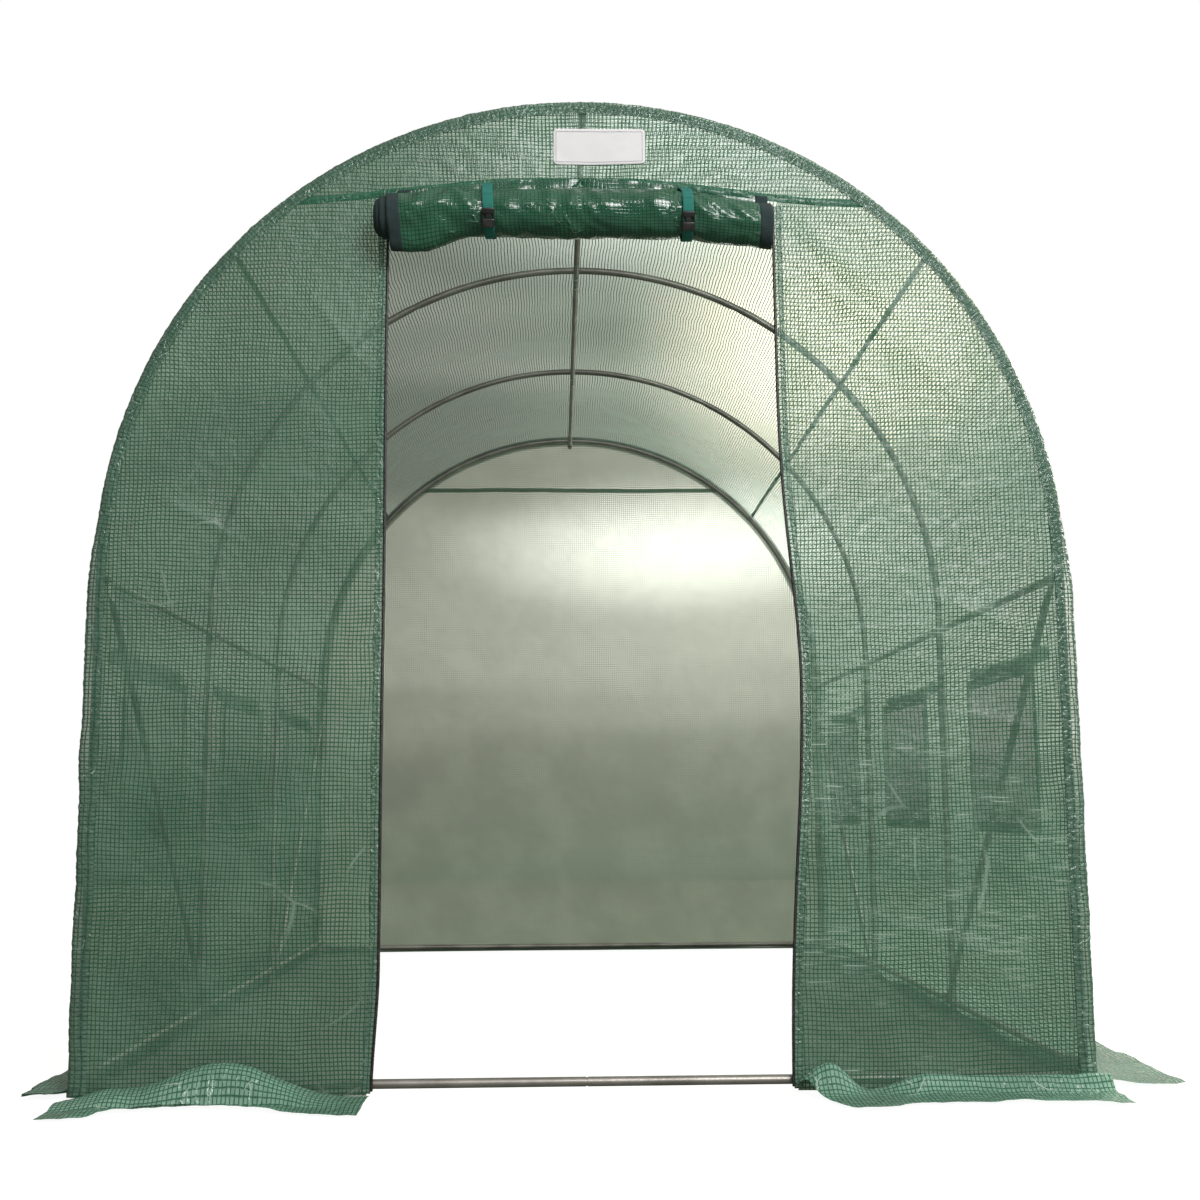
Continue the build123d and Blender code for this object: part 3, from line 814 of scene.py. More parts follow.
def pressed_run(start, end, outward, diameter, start_shift, end_shift=None):
    """A tube from bolt to bolt. A shift is how far its flat end stands out from the middle."""
    way = (end - start).normalized()
    outward = (outward - way * outward.dot(way)).normalized()
    side = way.cross(outward)
    length = (end - start).length

    def surface(turn, along):
        flat, shift = 0.0, 0.0
        for gap, end_lift in ((along, start_shift), (length - along, end_shift)):
            if end_lift is not None:
                share = 1 - ease(gap, pressed_length, pressed_length + press_taper)
                flat = max(flat, share)
                shift += share * end_lift
        wide = diameter / 2 + flat * (pressed_width - diameter) / 2
        thin = diameter / 2 + flat * (pressed_thickness - diameter) / 2
        if flat > 0.99:
            nearest = min(along, length - along if end_shift is not None else along)
            past_bolt = min(1.0, max(0.0, -nearest / pressed_lap))
            wide *= sqrt(max(0.02, 1 - past_bolt**2))
        squared = 2 / (2 + 3 * flat)
        across = wide * abs(sin(turn)) ** squared * sign(sin(turn))
        out = thin * abs(cos(turn)) ** squared * sign(cos(turn))
        return start + way * along + side * across + outward * (out + shift)

    last = length + (pressed_lap if end_shift is not None else 0.0)
    return rolled_tube(-pressed_lap, last, surface, 0.012)


def hex_bolt(shape, place, way, head=0.011, height=0.006, washer=0.0014):
    """Add a bolt head on a washer, facing along a direction."""
    at = Matrix.Translation(place) @ Vector(way).to_track_quat("Z", "Y").to_matrix().to_4x4()
    for segments, radius, low, high in (
        (20, head * 0.8, 0, washer),
        (6, head / 2, washer, height),
    ):
        lift = Matrix.Translation((0, 0, (low + high) / 2))
        bmesh.ops.create_cone(
            shape, cap_ends=True, segments=segments, radius1=radius, radius2=radius * 0.94,
            depth=high - low, matrix=at @ lift,
        )


def middle(node, axis):
    low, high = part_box(node)
    return (low[axis] + high[axis]) / 2


print(f"tube ends pressed {pressed_width * 1000:.0f} mm wide")

# %% [markdown]
# At a hoop, two rails and a brace lie over each other inside the leg. So one end of a rail
# lies against the leg, and the next one's end laps over it by its own thickness.

# %% The side and ground rails
rail_tube = 0.016
slide = 0.0003
lap_step = pressed_thickness + slide
first_lap = hoop_radius - hoop_tube / 2 - slide - pressed_thickness / 2
side_rail_z = middle("left_side_rails", 2)
ground_rail_z = middle("left_ground_rails", 2)
bolts, screws = bmesh.new(), bmesh.new()

for side_name, side in sides:
    outward = Vector((side, 0, 0))
    for rail_name, height in (("side_rails", side_rail_z), ("ground_rails", ground_rail_z)):
        runs = []
        for index in range(3):
            laps = [first_lap if held else first_lap - lap_step for held in (index < 2, index > 0)]
            centre = sum(laps) / 2
            ends = [Vector((side * centre, hoop_places[index + step], height)) for step in (0, 1)]
            shifts = [lap - centre for lap in laps]
            runs.append(pressed_run(*ends, outward, rail_tube, *shifts))
        node = f"{side_name}_{rail_name}"
        metalwork(node + "_run", join(runs), [node])
        inner = side * (first_lap - 2.5 * lap_step)
        for hoop_y in hoop_places:
            hex_bolt(bolts, Vector((inner, hoop_y, height)), (-side, 0, 0))

print(f"rails at {ground_rail_z:.3f} and {side_rail_z:.3f} m")

# %% [markdown]
# A brace runs from the side rail at each end hoop down to the next hoop's foot. The ground bar
# across each end is two tubes that meet on a spigot in the middle.

# %% The braces and ground bars
brace_centre = first_lap - 1.5 * lap_step
for end_name, top_y, foot_y in (
    ("front", hoop_places[0], hoop_places[1]),
    ("back", hoop_places[3], hoop_places[2]),
):
    runs = []
    for _, side in sides:
        top = Vector((side * brace_centre, top_y, side_rail_z))
        foot = Vector((side * brace_centre, foot_y, ground_rail_z))
        shifts = (lap_step / 2, -lap_step / 2)
        runs.append(pressed_run(top, foot, Vector((side, 0, 0)), rail_tube, *shifts))
    metalwork(f"{end_name}_braces", join(runs), [f"{end_name}_corner_braces"])

bar_joint_gap, spigot_length = 0.003, 0.04
for end_name, inward in (("front", 1), ("back", -1)):
    node = f"{end_name}_ground_bar"
    centre = Vector((0, middle(node, 1), middle(node, 2)))
    runs = []
    for _, side in sides:
        start = centre + Vector((side * hoop_radius, 0, 0))
        end = centre + Vector((side * bar_joint_gap / 2, 0, 0))
        runs.append(pressed_run(start, end, Vector((0, -inward, 0)), hoop_tube, 0.0))
        hex_bolt(bolts, start + Vector((0, inward * 0.0012, 0)), (0, inward, 0))

    def spigot(turn, along):
        radius = hoop_tube / 2 - neck_depth
        off = Vector((along - spigot_length / 2, radius * cos(turn), radius * sin(turn)))
        return centre + off

    runs.append(rolled_tube(0.0, spigot_length, spigot, spigot_length / 2))
    metalwork(f"{end_name}_bar", join(runs), [node])
print("braces and bars made")

# %% [markdown]
# The ridge runs under the hoops in three tubes, with a joint just behind each middle hoop and
# a small bright screw at every crossing.

# %% The ridge
ridge_low, ridge_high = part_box("ridge_tube_1")
ridge_z = middle("ridge_tube_1", 2)
ridge_radius = (ridge_high.x - ridge_low.x) / 2
ridge_overlap = 0.045
for number in (1, 2, 3):
    low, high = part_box(f"ridge_tube_{number}")
    start_y = low.y if number == 1 else low.y + ridge_overlap

    def ridge_surface(turn, along):
        radius = ridge_radius - (neck_depth if number > 1 and along < neck else 0.0)
        return Vector((radius * cos(turn), start_y + along, ridge_z + radius * sin(turn)))

    tube = rolled_tube(0.0, high.y - start_y, ridge_surface, 0.02)
    metalwork(f"ridge_{number}", tube, [f"ridge_tube_{number}"])

ridge_foot = ridge_z - ridge_radius
for hoop_y in hoop_places[1:3]:
    for offset in (0.0, 0.075):
        hex_bolt(screws, Vector((0, hoop_y + offset, ridge_foot)), (0, 0, -1), 0.008, 0.004)
for end_y in (front_y, back_y):
    hex_bolt(bolts, Vector((0, end_y, ridge_foot + 0.0005)), (0, 0, -1), 0.013, 0.009)
metalwork("bolt_heads", bolts, smooth=False)
metalwork("ridge_screws", screws, finish=bright_steel, smooth=False)
print("ridge made")

# %% [markdown]
# The cover over the hoops is pulled down at both sides, so between hoops it sinks a little, and
# small puckers run out from each hoop. A seam at each side of the roof joins it to the side
# sheets.

# %% The roof and its seams
seam_angle = radians(48)
cover_run = 2 * spring + pi * film_radius


def slack(distance, along):
    """How far the cover sinks in between hoops, with puckers beside each hoop."""
    share = (along / bay) % 1.0
    between = sin(pi * share) ** 2
    sink = between * (0.006 + ripple(distance, along, 0.5, 0.004, 1.0))
    from_hoop = min(share, 1 - share) * bay
    near = exp(-from_hoop / 0.05) * min(1.0, from_hoop / 0.01)
    pucker = 0.0012 * near * wobble(distance / 0.03, along / 0.2, 2.0)
    fine = between * ripple(distance, along, 0.06, 0.0012, 3.0)
    return -max(0.0, sink) + pucker + fine


def hang_cover(distance, along, lift=0.0):
    """A point of the cover: distance from the left foot over the top, along from the front."""
    base, outward = along_arch(distance, film_radius)
    return base + outward * (slack(distance, along) + lift) + Vector((0, front_y + along, 0))


roof_half = film_radius * seam_angle
roof_middle = spring + pi * film_radius / 2
roof_start, roof_end = roof_middle - roof_half, roof_middle + roof_half
sew(
    "roof_sheet",
    cut_and_hang(oblong(roof_start, roof_end, 0, run_length), hang_cover, 136, 220),
    roof_film, "mesh_film", ["cover_roof"],
    (roof_end - roof_start, run_length), "stretched", [f"{name}_crown_tube" for name in hoop_names],
)

seam_width, seam_bead = 0.012, 0.0016
seams = []
for seam_at in (roof_start, roof_end):
    def hang_seam(distance, along):
        bead = seam_bead * (1 - (abs(distance - seam_at) / (seam_width / 2)) ** 2)
        return hang_cover(distance, along, bead)

    ribbon = oblong(seam_at - seam_width / 2, seam_at + seam_width / 2, 0, run_length)
    seams.append(cut_and_hang(ribbon, hang_seam, 6, 300))
sew(
    "roof_seam_ribbons", join(seams), seam_film, "hem_film", ["roof_seams"],
    (2 * seam_width, run_length), "stretched", ["roof_sheet"],
)
print("roof and seams hung")

# %% [markdown]
# The side sheets hang from the roof's seams to the ground and have three windows cut out.

# %% The side sheets
net_low, net_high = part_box("left_window_nets")
window_width = net_high.y - net_low.y - 2 * bay
window_bottom, window_top = net_low.z, net_high.z
window_height = window_top - window_bottom
window_middles = [(hoop_places[i] + hoop_places[i + 1]) / 2 - front_y for i in range(3)]
hoop_legs = [f"{name}_legs" for name in hoop_names]


def on_side(side, up, along, lift=0.0):
    """A point on a side sheet at a height measured up the film from the ground."""
    return hang_cover(up if side < 0 else cover_run - up, along, lift)


for side_name, side in sides:
    holes = [
        ((window_bottom, place - window_width / 2), (window_top, place + window_width / 2))
        for place in window_middles
    ]
    shape = cut_and_hang(
        oblong(0, roof_start, 0, run_length),
        lambda up, along: on_side(side, up, along),
        120, 200, holes,
    )
    if side > 0:
        turn_over(shape)
    sew(
        f"{side_name}_side_sheet", shape, roof_film, "mesh_film",
        [f"cover_{side_name}_wall", f"cover_{side_name}_shoulder"],
        (roof_start, run_length), "hung", hoop_legs,
        area=roof_start * run_length - 3 * window_width * window_height,
    )
print("side sheets hung")

# %% [markdown]
# The front wall is two panels beside the doorway and one above it. The door's edges are not
# straight: the right one bows outwards at knee height, where the zip was pulled open. The seam
# over the doorway is bowed too, since the middle is held up by the ridge.

# %% The shape of the front wall
zip_width = 0.020
zips_low, zips_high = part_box("door_zips")
front_seam_z, back_seam_z = middle("front_seam", 2), middle("back_seam", 2)
film_out = hoop_radius + 0.004
skin_gap = 0.0006


def door_edge(side, z):
    """Where the film of the doorway's left or right edge is."""
    if side < 0:
        return zips_low.x + zip_width + 0.011 * ease(z, 0.0, 0.25)
    spread = 0.33 if z > 0.8 else 0.45
    return zips_high.x - zip_width + 0.002 + 0.036 * bell(z, 0.8, spread)


def seam_bow(x):
    """How far the seam over the doorway is above or below its straight line."""
    depth, spread = (0.075, 0.55) if x < 0 else (0.055, 0.36)
    return 0.010 - depth * (1 - bell(x, 0, spread))


def arch_half_width(z):
    """Half the width of an end wall at this height."""
    return film_out if z < spring else sqrt(max(0.0, film_out**2 - (z - spring) ** 2))


def inside_arch(x, z):
    """Distance from a point of an end wall to the hoop's centre line."""
    return hoop_radius - (abs(x) if z < spring else hypot(x, z - spring))


def fold(x, z, start, end, depth, width):
    """A pressed crease from start to end, which fades out at both."""
    across = Vector(end) - Vector(start)
    reach = across.length
    across.normalize()
    place = Vector((x, z)) - Vector(start)
    along = place.dot(across)
    if not 0 < along < reach:
        return 0.0
    return depth * exp(-abs(place.cross(across)) / width) * sin(pi * along / reach) ** 0.7


front_folds = (
    ((-0.60, 1.66), (-0.44, 1.45), 0.006, 0.010),
    ((-0.90, 1.21), (-0.70, 1.10), 0.006, 0.010),
    ((0.71, 0.99), (0.99, 0.87), 0.008, 0.012),
    ((0.76, 0.75), (0.99, 0.69), 0.008, 0.012),
    ((0.42, 1.81), (0.69, 1.53), 0.010, 0.012),
    ((0.43, 1.73), (0.82, 1.36), 0.009, 0.022),
    ((0.14, 2.01), (0.40, 1.80), 0.006, 0.014),
    ((-0.44, 0.42), (-0.90, 0.10), 0.007, 0.03),
    ((0.50, 0.36), (0.94, 0.22), 0.006, 0.02),
)


def front_wave(x, z):
    """How far the front film stands forward of its flat plane."""
    wave = ripple(x, z, 0.42, 0.016, 5.0) + ripple(x, z * 0.5, 0.11, 0.005, 6.0)
    wave += ripple(x, z, 0.028, 0.0009, 7.0)
    wave += sum(fold(x, z, *crease) for crease in front_folds)
    return ease(inside_arch(x, z), 0.012, 0.14) * wave


def hang_front(x, z, out=0.0):
    return Vector((x, front_film_y - skin_gap - front_wave(x, z) - out, z))


print(f"doorway from {door_edge(-1, 1):.3f} to {door_edge(1, 1):.3f}")

# %% [markdown]
# Each panel is cut between the door's edge and the arch, and between the ground and the bowed
# seam. The piece above is the rest of the arch, and a puckered ribbon covers the seam.

# %% Cuts under the arch
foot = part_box("front_left_panel")[0].z + 0.004
thinnest = 0.0005


def meets_arch(side):
    """How far from the middle the bowed seam meets the arch."""
    reach = 0.56
    for _ in range(12):
        reach = arch_half_width(front_seam_z + seam_bow(side * reach))
    return reach


def arch_piece(left, right, seam_z, bow):
    """The cut of the piece between a seam and the top of the arch."""
    def cut(s, t):
        x = left + s * (right - left)
        low_z = seam_z + bow(x)
        high_z = spring + sqrt(film_out**2 - x**2)
        return x, low_z + t * max(thinnest, high_z - low_z)

    return cut


def seam_strip(low_x, high_x, bow, plane):
    """A folded seam as a strip with a bead and fine puckers."""
    def hang(x, off):
        bead = 0.0018 * (1 - (off / 0.008) ** 2)
        return plane(x, off + bow(x), bead + 0.0006 * wobble(x / 0.006, off / 0.02, 4.0))

    columns = round((high_x - low_x) / 0.004)
    return cut_and_hang(oblong(low_x, high_x, -0.008, 0.008), hang, columns, 6)


left_reach, right_reach = meets_arch(-1), meets_arch(1)
print(f"seam from {-left_reach:.3f} to {right_reach:.3f}")

# %% [markdown]
# The two panels are mirror images but for the bowed edges, so one cut makes both.

# %% The front wall
for (side_name, side), reach in zip(sides, (left_reach, right_reach)):
    def cut_panel(s, t):
        share = 1 - s if side < 0 else s
        inner_top = side * door_edge(side, front_seam_z)
        x_top = side * (inner_top + share * (reach - inner_top))
        z = foot + t * (front_seam_z + seam_bow(x_top) - foot)
        inner = side * door_edge(side, z) + 0.006
        return side * (inner + share * (arch_half_width(z) - inner)), z

    sew(
        f"front_{side_name}_wall", cut_and_hang(cut_panel, hang_front, 100, 290),
        wall_film, "mesh_film", [f"front_{side_name}_panel"],
        (film_out - abs(door_edge(side, 1.0)), front_seam_z - foot), "hung",
        ["front_legs", "front_shoulder_tubes"],
    )

seam_run = left_reach + right_reach
top_rise = spring + film_out - front_seam_z
cut_top = arch_piece(-left_reach, right_reach, front_seam_z, seam_bow)
sew(
    "front_top_wall", cut_and_hang(cut_top, hang_front, 190, 36),
    wall_film, "mesh_film", ["front_top_panel"],
    (seam_run, top_rise), "hung", ["front_crown_tube", "front_shoulder_tubes"],
    area=0.78 * seam_run * top_rise,
)
seam = seam_strip(
    -left_reach, right_reach, seam_bow, lambda x, off, out: hang_front(x, front_seam_z + off, out)
)
sew(
    "front_seam_ribbon", seam, seam_film, "hem_film", ["front_seam"],
    (0.016, seam_run), "hung", ["front_top_wall"],
)
print("front wall hung")

# %% [markdown]
# The back wall hangs the same way. Seen from the doorway it carries the light of the garden
# behind it: milky at the top, grey green near the ground, with broad soft clouds. That light
# comes from the sky, and the film's pale colour is a painted glow.

# %% The back wall
back_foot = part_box("back_panel")[0].z + 0.003
back_reach = arch_half_width(back_seam_z) - 0.003
back_height = back_seam_z - back_foot
back_rise = spring + film_out - back_seam_z


def hang_back(x, z, out=0.0):
    wave = ripple(x, z, 0.5, 0.014, 8.0) + ripple(x, z * 0.6, 0.13, 0.004, 9.0)
    wave += ripple(x, z, 0.03, 0.0008, 10.0)
    wave *= ease(inside_arch(x, z), 0.012, 0.16)
    return Vector((x, back_film_y + skin_gap + wave + out, z))


def cut_back(s, t):
    z = back_foot + t * back_height
    return (1 - 2 * s) * arch_half_width(z), z


def hang_back_seam(x, off, out):
    return hang_back(-x, back_seam_z, out) + Vector((0, 0, off))


sew(
    "back_wall", cut_and_hang(cut_back, hang_back, 190, 180),
    back_film_painted_glow, "mesh_film", ["back_panel"],
    (2 * film_out, back_height), "hung", ["back_legs", "back_shoulder_tubes"],
    area=0.93 * 2 * film_out * back_height,
)
cut_back_top = arch_piece(back_reach, -back_reach, back_seam_z, lambda x: 0.0)
sew(
    "back_top_wall", cut_and_hang(cut_back_top, hang_back, 150, 30),
    back_film_painted_glow, "mesh_film", ["back_top_panel"],
    (2 * back_reach, back_rise), "hung", ["back_crown_tube", "back_shoulder_tubes"],
    area=0.68 * 2 * back_reach * back_rise,
)
sew(
    "back_seam_ribbon", seam_strip(-back_reach, back_reach, lambda x: 0.0, hang_back_seam),
    seam_film, "hem_film", ["back_seam"], (0.016, 2 * back_reach), "hung", ["back_top_wall"],
)
print("back wall hung")

# %% [markdown]
# At both ends the roof's film turns over the hoop and is sewn to the end wall, doubled. Sewing
# a curved edge leaves it too long, so it gathers in small pleats across the hem. The sheet is
# mapped along the hoop and round the tube. At the legs it bags outwards.

# %% The hems round the end hoops
hem_inner, hem_wrap, hem_back = 0.018, 0.0117, 0.016
hem_turned = hem_inner + hem_wrap * pi / 2
hem_width = hem_turned + hem_back
hem_foot = 0.007
hem_length = hoop_run - 2 * hem_foot


def leg_bag(distance):
    """How far the hem stands off the leg, which is not at all round the arch."""
    bag = ease(spring + 0.10 - min(distance, hoop_run - distance), 0.0, 0.16)
    return bag * (0.013 + 0.004 * wobble(distance / 0.12, 0.0, 11.0))


# facing is -1 for the front, whose film lies before the hoop, and 1 for the back
for end_name, hoop_y, facing in (("front", front_y, -1), ("back", back_y, 1)):
    def hang_hem(off, distance):
        centre, outward = along_arch(min(max(distance, 0.0), hoop_run), hoop_radius)
        if off < hem_inner:
            radial, depth, normal = off - hem_inner, hem_wrap, 0.0
        elif off < hem_turned:
            normal = (off - hem_inner) / hem_wrap
            radial, depth = hem_wrap * sin(normal), hem_wrap * cos(normal)
        else:
            radial, depth, normal = hem_wrap, hem_turned - off, pi / 2
        pleat = wobble(distance / 0.011, off / 0.05, 12.0)
        pleat += 0.6 * wobble(distance / 0.005, off / 0.02, 13.0)
        lift = 0.0015 * pleat * (0.6 + 0.4 * sin(normal)) + 0.0014
        radial += lift * sin(normal) + leg_bag(distance) * (0.35 + 0.65 * ease(off, 0.0, hem_inner))
        depth += lift * cos(normal) + 0.001
        return centre + outward * radial + Vector((0, hoop_y + facing * depth, 0))

    strip = oblong(0, hem_width, hem_foot, hem_foot + hem_length)
    shape = cut_and_hang(strip, hang_hem, 14, 1150)
    if facing > 0:
        turn_over(shape)
    sew(
        f"{end_name}_hem_band", shape, hem_film, "hem_film", [f"{end_name}_hem"],
        (hem_width, hem_length), "gathered", [f"{end_name}_legs", f"{end_name}_crown_tube"],
    )
print(f"hems {hem_width * 1000:.0f} mm wide")

# %% [markdown]
# The doorway's edges carry a zip: a green side tape, crinkled where it is sewn on, and a black
# coil. The coil is a thin tube whose radius swells 400 times a metre.

# %% The zips
zip_foot, zip_top = 0.008, front_seam_z - 0.02
side_tape, coil_radius, coil_swell, coil_teeth = 0.018, 0.0032, 0.0008, 400
tapes, coils = [], []
for _, side in sides:
    def tape_place(off, z):
        x = door_edge(side, z) + side * (off - 0.002)
        pucker = 0.0011 * wobble(off / 0.01, z / 0.009, 14.0 + side)
        y = front_film_y - 0.0022 - front_wave(x, z) * 0.7 - pucker
        return Vector((x, y, z + seam_bow(x) * ease(z, 1.5, front_seam_z)))

    def coil_place(turn, z):
        swell = coil_radius + coil_swell * sin(z * tau * coil_teeth)
        return tape_place(-0.001, z) + Vector((swell * cos(turn), 0.8 * swell * sin(turn), 0))

    tapes.append(cut_and_hang(oblong(0, side_tape, zip_foot, zip_top), tape_place, 6, 620))
    coils.append(rolled_tube(zip_foot + 0.004, zip_top, coil_place, 0.0013, 6))
# The side tapes wear the hem's film, with its pale crackle of painted glints.
sew(
    "zip_side_tapes", join(tapes), hem_film, "zip_tape", ["door_zips"],
    (2 * side_tape, zip_top - zip_foot), "hung", ["front_left_wall"],
)
dress("zip_coils", join(coils), coil_plastic)
print("zips sewn")

# %% [markdown]
# The curtain is rolled up from its foot, forwards, and held by two ties. It was rolled by hand:
# the roll sags between its ties and at both ends, the layers have slipped sideways so that the
# dark edge tapes fan out at the left, and the outermost layer hangs loose under the left third.

# %% The shape of the roll
roll_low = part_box("door_curtain_roll")[0]
to_roll_axis = 0.055
roll_y, roll_z = roll_low.y + to_roll_axis, roll_low.z + to_roll_axis
roll_turns, roll_outer, roll_inner = 7, 0.0525, 0.012
tie_spots = [-0.195, 0.215]
curtain_left, curtain_right = -0.391, 0.393
drop = front_seam_z - roll_z
curtain_turns_run = tau * roll_turns * (roll_outer + roll_inner) / 2
curtain_run = drop + curtain_turns_run


def roll_axis(x):
    """The middle of the roll: its ends hang lower, the right one most."""
    sag = -0.010 * ease(-x, 0.2, 0.40) - 0.026 * ease(x, 0.15, 0.42)
    return 0.006 + sag + 0.002 * wobble(x / 0.15, 3.0, 0.0)


def roll_size(x, turns):
    """The radius after this many turns: pinched at the ties, thinner at the right end."""
    size = roll_outer + (roll_inner - roll_outer) * turns / roll_turns
    pinch = sum(bell(x, spot, 0.035) for spot in tie_spots)
    return size * (1 - 0.07 * ease(x, 0.1, 0.4)) * (1 - 0.05 * min(1.0, pinch))


def slip(turns):
    """How far inner layers have slid out to the left."""
    return -0.043 * (1 - exp(-turns / 1.5))


# each fold across the roll: its place, its lean, its width and its height
roll_folds = (
    (-0.345, 0.050, 0.014, 0.0090),
    (-0.295, 0.050, 0.012, 0.0070),
    (-0.228, -0.030, 0.015, 0.0090),
    (-0.062, 0.006, 0.014, 0.0085),
    (-0.020, 0.014, 0.010, 0.0080),
    (0.045, -0.016, 0.016, 0.0060),
    (0.150, 0.025, 0.018, 0.0060),
    (0.250, -0.050, 0.014, 0.0090),
    (0.292, -0.055, 0.013, 0.0090),
    (0.338, -0.050, 0.014, 0.0075),
)


def loose_layer(x, angle, turns):
    """Lumps, crinkles, slanting ridges and folds of the outermost layer."""
    lump = wobble(x / 0.07, angle * 0.9, turns * 2.0)
    lump += 0.5 * wobble(x / 0.022, angle * 2.2, turns * 3.0)
    crinkle = wobble(x / 0.008 + angle * 0.8, angle * 6.0, 3.0)
    slant = x / 0.05 + angle * 1.1 + 0.8 * wobble(x / 0.1, angle, 5.0)
    ridge = 1 - 2 * abs(wobble(slant, x / 0.14, 6.0))
    height = 0.0030 * lump + 0.0011 * crinkle + 0.0030 * (ridge - 0.5)
    front = ease(angle % tau, 2.4, 3.3)
    for spot, lean, width, rise in roll_folds:
        height += rise * front * bell(x, spot + lean * (angle - pi), width)
    return height * exp(-turns / 0.8)


print(f"curtain {curtain_run:.2f} m long in {roll_turns} turns")

# %% [markdown]
# The curtain hangs from the seam as far as the roll and then follows a spiral inwards. Its
# dark edge tapes are cut from the same cloth and hung by the same function, so they fan out
# where the layers slip.

# %% The rolled curtain
def hang_curtain(x, run):
    if run < drop:
        share = run / drop
        y = front_film_y - 0.004 - 0.004 * share
        y = y * (1 - share) + min(y, roll_y + roll_size(x, 0)) * share
        z = front_seam_z + seam_bow(x) * (1 - share) - run + roll_axis(x) * share
        return Vector((x, y, z))
    turns = roll_turns * (1 - sqrt(max(0.0, 1 - (run - drop) / curtain_turns_run)))
    angle = turns * tau
    size = roll_size(x, turns) + loose_layer(x, angle, turns)
    below = max(0.0, sin(angle)) ** 8 if turns < 0.5 else 0.0
    hang_free = (1 - ease(x, -0.33, -0.22)) * (0.75 + 0.25 * ease(x, curtain_left, -0.34))
    size += 0.026 * below * hang_free
    y = min(roll_y + size * cos(angle), front_film_y - 0.003)
    to_right = (x - curtain_left) / (curtain_right - curtain_left)
    spread = x + slip(turns) * (1 - 0.75 * to_right)
    return Vector((spread, y, roll_z + roll_axis(x) - size * sin(angle)))


def curtain_part(first, last, columns):
    return cut_and_hang(oblong(first, last, 0, curtain_run), hang_curtain, columns, 270)


edge_width = 0.026
inner_left, inner_right = curtain_left + edge_width, curtain_right - edge_width
curtain = dress(
    "rolled_curtain", curtain_part(inner_left, inner_right, 150), rolled_film,
    ["door_curtain_roll"],
)
edges = [
    curtain_part(first, last, 5)
    for first, last in ((curtain_left, inner_left), (inner_right, curtain_right))
]
edge_tapes = dress("curtain_edges", join(edges), zip_tape, ["curtain_edge_tapes"])
thicken(edge_tapes, 0.0014)
print(f"curtain rolled, with edge tapes {edge_width * 1000:.0f} mm wide")

# %% [markdown]
# Each tie is a loop of webbing from the seam, round the front of the roll to a side-release
# buckle, and back under the roll. The buckle is two moulded halves: a body with rounded
# shoulders and two prongs that show in its side openings.

# %% Straps and buckles
tie_wide, tie_gap = 0.022, 0.0028
buckle_tilt, buckle_gap, rounding = radians(33), 0.003, 0.28
# each block of a buckle: width, height, depth, then its place to the side and up
buckle_blocks = (
    (0.026, 0.018, 0.008, 0.0, -0.011),
    (0.026, 0.012, 0.0075, 0.0, 0.014),
    (0.012, 0.016, 0.0055, 0.0, 0.003),
    (0.0035, 0.014, 0.005, -0.0112, 0.003),
    (0.0035, 0.014, 0.005, 0.0112, 0.003),
)


def make_strap(spot, lean):
    """One tie, worked out in the plane across the roll: y and z."""
    reach = roll_size(spot, 0) + tie_gap
    top_point = Vector((front_film_y - 0.003, front_seam_z + seam_bow(spot) - 0.002))
    centre = Vector((roll_y, roll_z + roll_axis(spot)))
    gap = top_point - centre
    leaving = atan2(gap.y, gap.x) + atan2(sqrt(gap.length**2 - reach**2), reach)
    start = centre + Vector((cos(leaving), sin(leaving))) * reach
    first_run = (top_point - start).length
    whole_run = first_run + reach * (tau + pi - 0.35 - leaving % tau)

    def strap_place(off, run):
        if run < first_run:
            flat = top_point + (start - top_point) * (run / first_run)
        else:
            angle = leaving + (run - first_run) / reach
            flat = centre + Vector((cos(angle), sin(angle))) * reach
        skew = lean * (top_point.y - flat.y) / 0.1
        return Vector((spot + off + skew - lean, flat.x, flat.y))

    return cut_and_hang(oblong(-tie_wide / 2, tie_wide / 2, 0, whole_run), strap_place, 6, 70)


def make_block(width, height, depth, shift_x, shift_z):
    block = bmesh.new()
    bmesh.ops.create_cube(block, size=1)
    bmesh.ops.scale(block, verts=block.verts, vec=(width, depth, height))
    bmesh.ops.bevel(
        block, geom=block.edges[:], offset=min(width, depth, height) * rounding, segments=3,
        profile=0.5, affect="EDGES", material=-1,
    )
    bmesh.ops.translate(block, verts=block.verts, vec=(shift_x, 0, shift_z))
    return block


print(f"a buckle has {len(buckle_blocks)} blocks")

# %% [markdown]
# The ties hang at two places on the roll, with their buckles tilted to face down and forwards.

# %% The two ties
straps, blocks = [], []
for spot, lean in zip(tie_spots, (0.006, 0.002)):
    straps.append(make_strap(spot, lean))
    off = roll_size(spot, 0) + tie_gap + buckle_gap
    place = (roll_y - off * cos(buckle_tilt), roll_z + roll_axis(spot) - off * sin(buckle_tilt))
    at = Matrix.Translation((spot, *place)) @ Matrix.Rotation(buckle_tilt, 4, "X")
    for sizes in buckle_blocks:
        block = make_block(*sizes)
        bmesh.ops.transform(block, matrix=at, verts=block.verts)
        blocks.append(block)

ties = dress("webbing_ties", join(straps), tie_webbing, ["door_ties"])
thicken(ties, 0.0012)
dress("side_release_buckles", join(blocks), buckle_plastic, ["tie_buckles"])
print("ties and buckles made")

# %% [markdown]
# The patch over the doorway is bare: a rectangle of pale cloth with rounded corners, sewn on
# through the film with one line of stitches just inside its edge. The stitches are short
# threads that follow the same wave as the film under them.

# %% The bare patch
patch_low, patch_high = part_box("label_patch")
patch_middle = Vector((middle("label_patch", 0), middle("label_patch", 2)))
patch_half = Vector((patch_high.x - patch_low.x, patch_high.z - patch_low.z)) / 2
corner = 0.009
stitch_inset, stitch_step, stitch_size = 0.006, 0.0052, (0.0034, 0.0007, 0.0009, 1)


